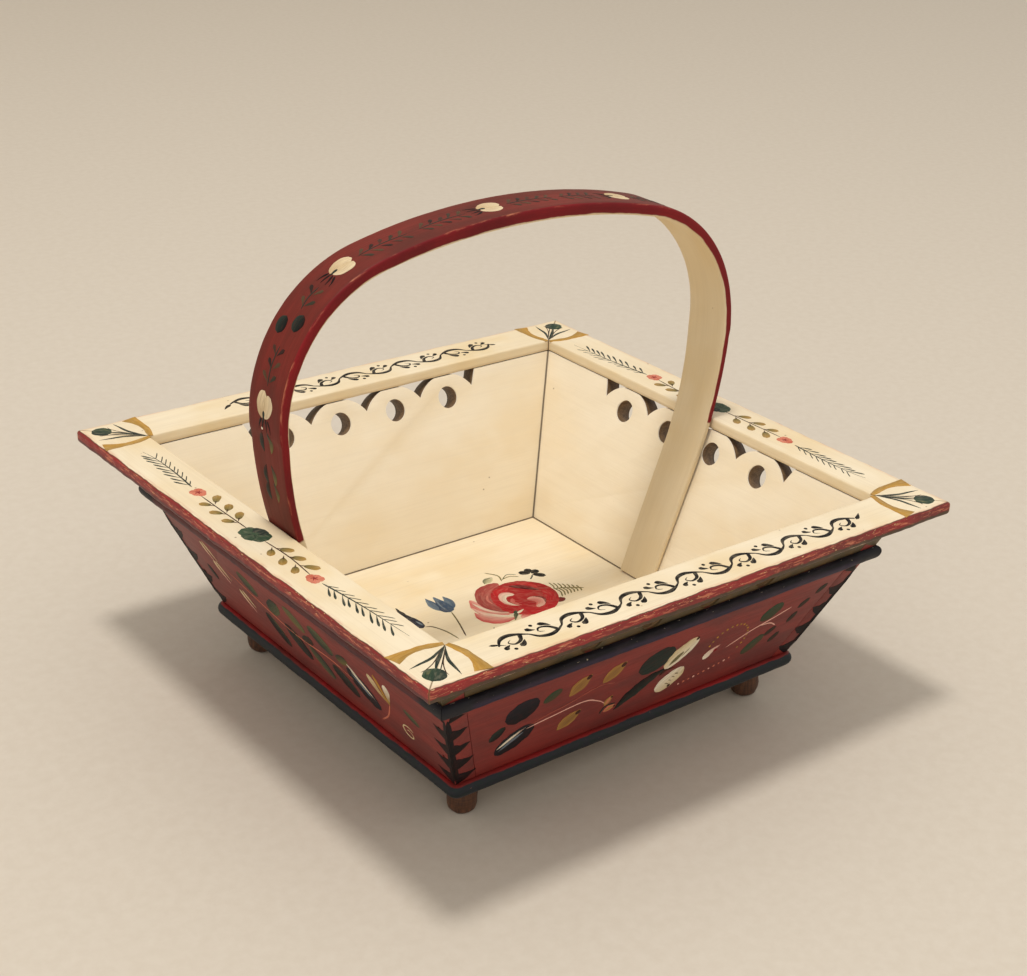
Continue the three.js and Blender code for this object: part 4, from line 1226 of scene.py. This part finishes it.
def soft_panel(side, name):
    """The end panels: paler strokes in pairs, dark leaves along a runner and a forked tulip."""
    p = Painter(panel_place(side), GROUND_RED)
    corner_teeth(p, 1)
    corner_teeth(p, -1)
    stem = dict(dry=(0.1, 0.6), layer=1, uneven=0.02)
    for at in ((-82, 44), (-76, 34), (-58, 24)):
        p.stroke([(at[0] - 4, at[1] + 6), (at[0] - 1, at[1] + 1), (at[0] + 5, at[1] - 5)], 2.4,
                 CREAM_STROKE, "comma", (0, 0.7), 1, PINK_PALE)
        p.stroke([(at[0] - 1, at[1] + 7), (at[0] + 3, at[1] + 3), (at[0] + 8, at[1] - 2)], 1.8,
                 CREAM_STROKE, "comma", (0.1, 0.8), 1)
    p.stroke([(-66, 40), (-40, 33), (-12, 28), (20, 30), (40, 27)], 0.8, SALMON, "line", **stem)
    for at, angle, size, width, colour, other in (
            ((-46, 42), -0.5, 17, 8.5, GREEN_DEEP, SAGE), ((-33, 18.7), -0.9, 21, 9.5, INK, GREEN_DEEP),
            ((-25, 38), 0.7, 17, 9.0, SAGE, GREEN_DEEP), ((-12, 22.8), -0.8, 22, 11.5, GREEN_DEEP, INK),
            ((-4, 42), -0.6, 17, 8.5, OLIVE, SAGE), ((7, 20), -0.8, 20, 9.0, SAGE, GREEN_DEEP),
            ((18, 41), -0.5, 19, 10.5, GREEN_DEEP, SAGE), ((27, 20), -0.6, 20, 10.5, INK, GREEN_DEEP),
            ((1, 31), 0.5, 13, 6.0, BROWN_INK, GREEN_DEEP), ((34, 38), 0.4, 12, 6.0, OLIVE, GREEN_DEEP)):
        dark_oval(p, at, angle, size, width, colour, None, other)
    for at in ((-30, 22), (-10, 26), (20, 40)):
        p.stroke([(at[0] - 4, at[1] + 4), at, (at[0] + 4, at[1] - 5)], 1.2, SAGE, "comma", (0.3, 0.9), 1)
    dark_oval(p, (45, 26), -0.7, 25, 13.5, BLUE_BLACK, WHITE, rgb(28, 34, 44))
    p.stroke([(38, 38), (44, 33), (52, 25)], 1.5, WHITE, "comma", (0.1, 0.7), 2)
    p.stroke([(58, 44), (62, 36), (68, 30)], 5.4, CREAM_STROKE, "comma", (0, 0.5), 1, OCHRE)
    p.stroke([(72, 45), (70, 37), (68, 30)], 4.6, WHITE, "comma", (0, 0.5), 1, OCHRE)
    p.stroke([(64, 47), (66, 38), (68, 30)], 2.6, GOLD, "comma", (0, 0.5), 2)
    ring = [polar((76, 17), 0.6 + 0.62 * k, 5.2 - 0.28 * k) for k in range(14)]
    p.stroke(ring, 0.8, CREAM_STROKE, "line", **stem)
    p.stroke([(68, 30), (60, 18), (50, 9)], 0.8, SALMON, "line", **stem)
    dark_oval(p, (86, 33), -0.5, 11, 5.0, GREEN_DEEP, None, SAGE)
    dark_oval(p, (-90, 27), -0.9, 10, 4.6, GREEN_DEEP, None, INK)
    p.done("painting_wall_" + name, "wall")


bright_panel(0, "front")
bright_panel(2, "back")
soft_panel(3, "left")
soft_panel(1, "right")


# ------------------------------------------------------------------ handle runner
def handle_place(s, y, h):
    """s along the outer face from the crown, y across it."""
    flat_s, flat_y, flat_h = np.ravel(s), np.ravel(y), np.ravel(h + 0 * s)
    out = []
    for a, b, c in zip(flat_s, flat_y, flat_h):
        a = max(min(a, HALF_RUN - 0.5), 0.5 - HALF_RUN)
        point, normal = arch(a)
        lift = c - shaved(a) - 0.05 * noise.noise(Vector((a * 0.1, b * 0.2, 0)))
        out.append((point[0] + normal[0] * lift, b, point[1] + normal[1] * lift))
    return np.array(out).reshape(np.shape(s) + (3,))


def blossom(p, s, hand):
    """A pale blossom of two overlapping petals, with a dark calyx at the end that hand points to."""
    p.stroke([(s - 6.0 * hand, 1.4), (s, 3.0), (s + 6.2 * hand, 1.6)], 7.0, rgb(228, 208, 170), "pod",
             (0, 0.2), 0, rgb(206, 180, 138))
    p.stroke([(s - 4.8 * hand, -1.6), (s + 0.8 * hand, -2.6), (s + 6.0 * hand, -0.6)], 6.8,
             rgb(212, 188, 146), "pod", (0, 0.25), 1, rgb(232, 214, 178), "across")
    p.stroke([(s + 2.6 * hand, 0.4), (s + 5.0 * hand, 0.4), (s + 7.6 * hand, 0.6)], 1.8, GREEN_DEEP,
             "comma", (0, 0.3), 2)
    for y in (3.6, 1.2, -1.6, -4.0):
        p.stroke([(s + 6.2 * hand, y * 0.6), (s + 9.4 * hand, y * 1.1), (s + 12.0 * hand, y * 1.25)], 1.3,
                 INK, "comma", (0.1, 0.6))


def handle_runner():
    """Pale blossoms and dark pairs of leaves along the handle, joined by feathered stems."""
    p = Painter(handle_place, GROUND_HANDLE)
    for s, hand in ((-162.5, -1), (-92, -1), (-13, -1), (62, -1), (112, 1), (170, 1)):
        blossom(p, s, hand)
    for s in (-126, 142):
        for y, off in ((5.6, -1.5), (-4.4, 2.0)):
            p.stroke([(s + off - 4.2, y), (s + off, y + 0.4), (s + off + 4.2, y)], 7.2, INK, "oval",
                     (0, 0.3), 0, GREEN_DEEP, "across")
    for a, b in ((-154, -136), (-118, -106), (-84, -58), (-52, -27), (-4, 22), (26, 47), (70, 100),
                 (126, 136), (148, 160)):
        p.stroke([(a, 0), ((a + b) / 2, 0.8), (b, 0)], 0.7, GREEN_DEEP, "line", (0.1, 0.5))
        count = max(int(abs(b - a) / 4.6), 2)
        for k in range(count):
            s = a + (b - a) * (k + 0.4) / count
            for y in (1, -1):
                reach = 5.2 + rng.uniform(-0.8, 0.8)
                colour = (rgb(56, 54, 42), rgb(84, 66, 46), rgb(46, 32, 28),
                          rgb(74, 50, 40))[(k + (y > 0)) % 4]
                p.stroke([(s + 3.0, y * reach), (s + 1.6, y * reach * 0.6), (s - 0.8, y * 0.6)], 2.0,
                         colour, "comma", (0.1, 0.6))
    for s in (-204, -196, -180, 184, 200):
        p.stroke([(s - 5, 2.5), (s, 4.0), (s + 5, 2.2)], 3.4, GREEN_DEEP, "leaf", (0.2, 0.6), 0, INK)
        p.stroke([(s - 4, -3.5), (s + 1, -4.0), (s + 6, -2.0)], 3.0, OLIVE, "leaf", (0.2, 0.7), 0,
                 GREEN_DEEP)
    p.dot((-173.5, 1.8), 1.3, WHITE)
    p.done("painting_handle", "handle")


handle_runner()


# ------------------------------------------------------------------ floor, light, camera
def stage_material():
    g = Graph("studio_floor")
    coords = g.node("TexCoord").outputs["Object"]
    grain = g.noise(coords, (160, 160, 160), 4.0, 0.6)
    tone = g.mix(g.step(grain, 0.5, 0.3), rgb(216, 207, 193), rgb(211, 201, 186))
    return g.finish(tone, 0.75)


def backdrop(depth=3.2, width=3.5, radius=0.9):
    """A pale sweep: the floor, a soft curve and a wall behind it, rising towards +y."""
    line = [(-2.0, 0.0), (depth - radius, 0.0)]
    line += [(depth - radius + radius * math.sin(a),
              radius - radius * math.cos(a)) for a in np.linspace(0.1, math.pi / 2, 14)]
    line.append((depth, 2.6))
    verts = [(x, y, z) for y, z in line for x in (-width, width)]
    faces = [(2 * i, 2 * i + 1, 2 * i + 3, 2 * i + 2) for i in range(len(line) - 1)]
    mesh = bpy.data.meshes.new("studio_sweep")
    mesh.from_pydata(verts, [], faces)
    mesh.polygons.foreach_set("use_smooth", [True] * len(mesh.polygons))
    mesh.materials.append(stage_material())
    obj = add_object("studio_sweep", mesh)


def area_light(name, position, target, size, watts, colour):
    data = bpy.data.lights.new(name, "AREA")
    data.shape, data.size, data.energy, data.color = "DISK", size, watts, colour
    obj = add_object(name, data)
    obj.location = position
    obj.rotation_euler = (Vector(target) - Vector(position)).to_track_quat("-Z", "Y").to_euler()


# The camera matched to the photo: distance and target in metres, lens in millimetres, shift in widths.
AZIMUTH, ELEVATION, ROLL = math.radians(-40.323), math.radians(27.054), math.radians(2.769)
DISTANCE, TARGET = 0.901824, np.array([0.032813, -0.015953, 0.060])
LENS, SHIFT = 63.32, (-0.0599, 0.0701)


def camera():
    back = np.array([math.sin(AZIMUTH) * math.cos(ELEVATION), -math.cos(AZIMUTH) * math.cos(ELEVATION),
                     math.sin(ELEVATION)])
    right = np.array([math.cos(AZIMUTH), math.sin(AZIMUTH), 0])
    up = np.cross(back, right)
    right, up = right * math.cos(ROLL) + up * math.sin(ROLL), -right * math.sin(ROLL) + up * math.cos(ROLL)
    data = bpy.data.cameras.new("camera")
    data.sensor_width, data.lens, data.clip_start = 36, LENS, 0.05
    data.shift_x, data.shift_y = SHIFT
    obj = add_object("camera", data)
    place = Matrix.Identity(4)
    for i, axis in enumerate((right, up, back, TARGET + back * DISTANCE)):
        for j in range(3):
            place[j][i] = axis[j]
    obj.matrix_world = place
    bpy.context.scene.camera = obj


camera()
backdrop()
area_light("overhead", (-0.36, -0.12, 2.5), (0, 0, 0.05), 0.40, 27, (1.0, 0.955, 0.90))
area_light("front_fill", (-1.3, -1.5, 1.0), (0, 0, 0.1), 1.6, 2.5, (1.0, 0.97, 0.93))

world = bpy.data.worlds.new("studio")
bpy.context.scene.world = world
world.use_nodes = True
ambient = world.node_tree.nodes["Background"].inputs
ambient[0].default_value, ambient[1].default_value = (1.0, 0.95, 0.88, 1), 0.69
bpy.context.scene.view_settings.view_transform = "Standard"

bpy.context.view_layer.update()
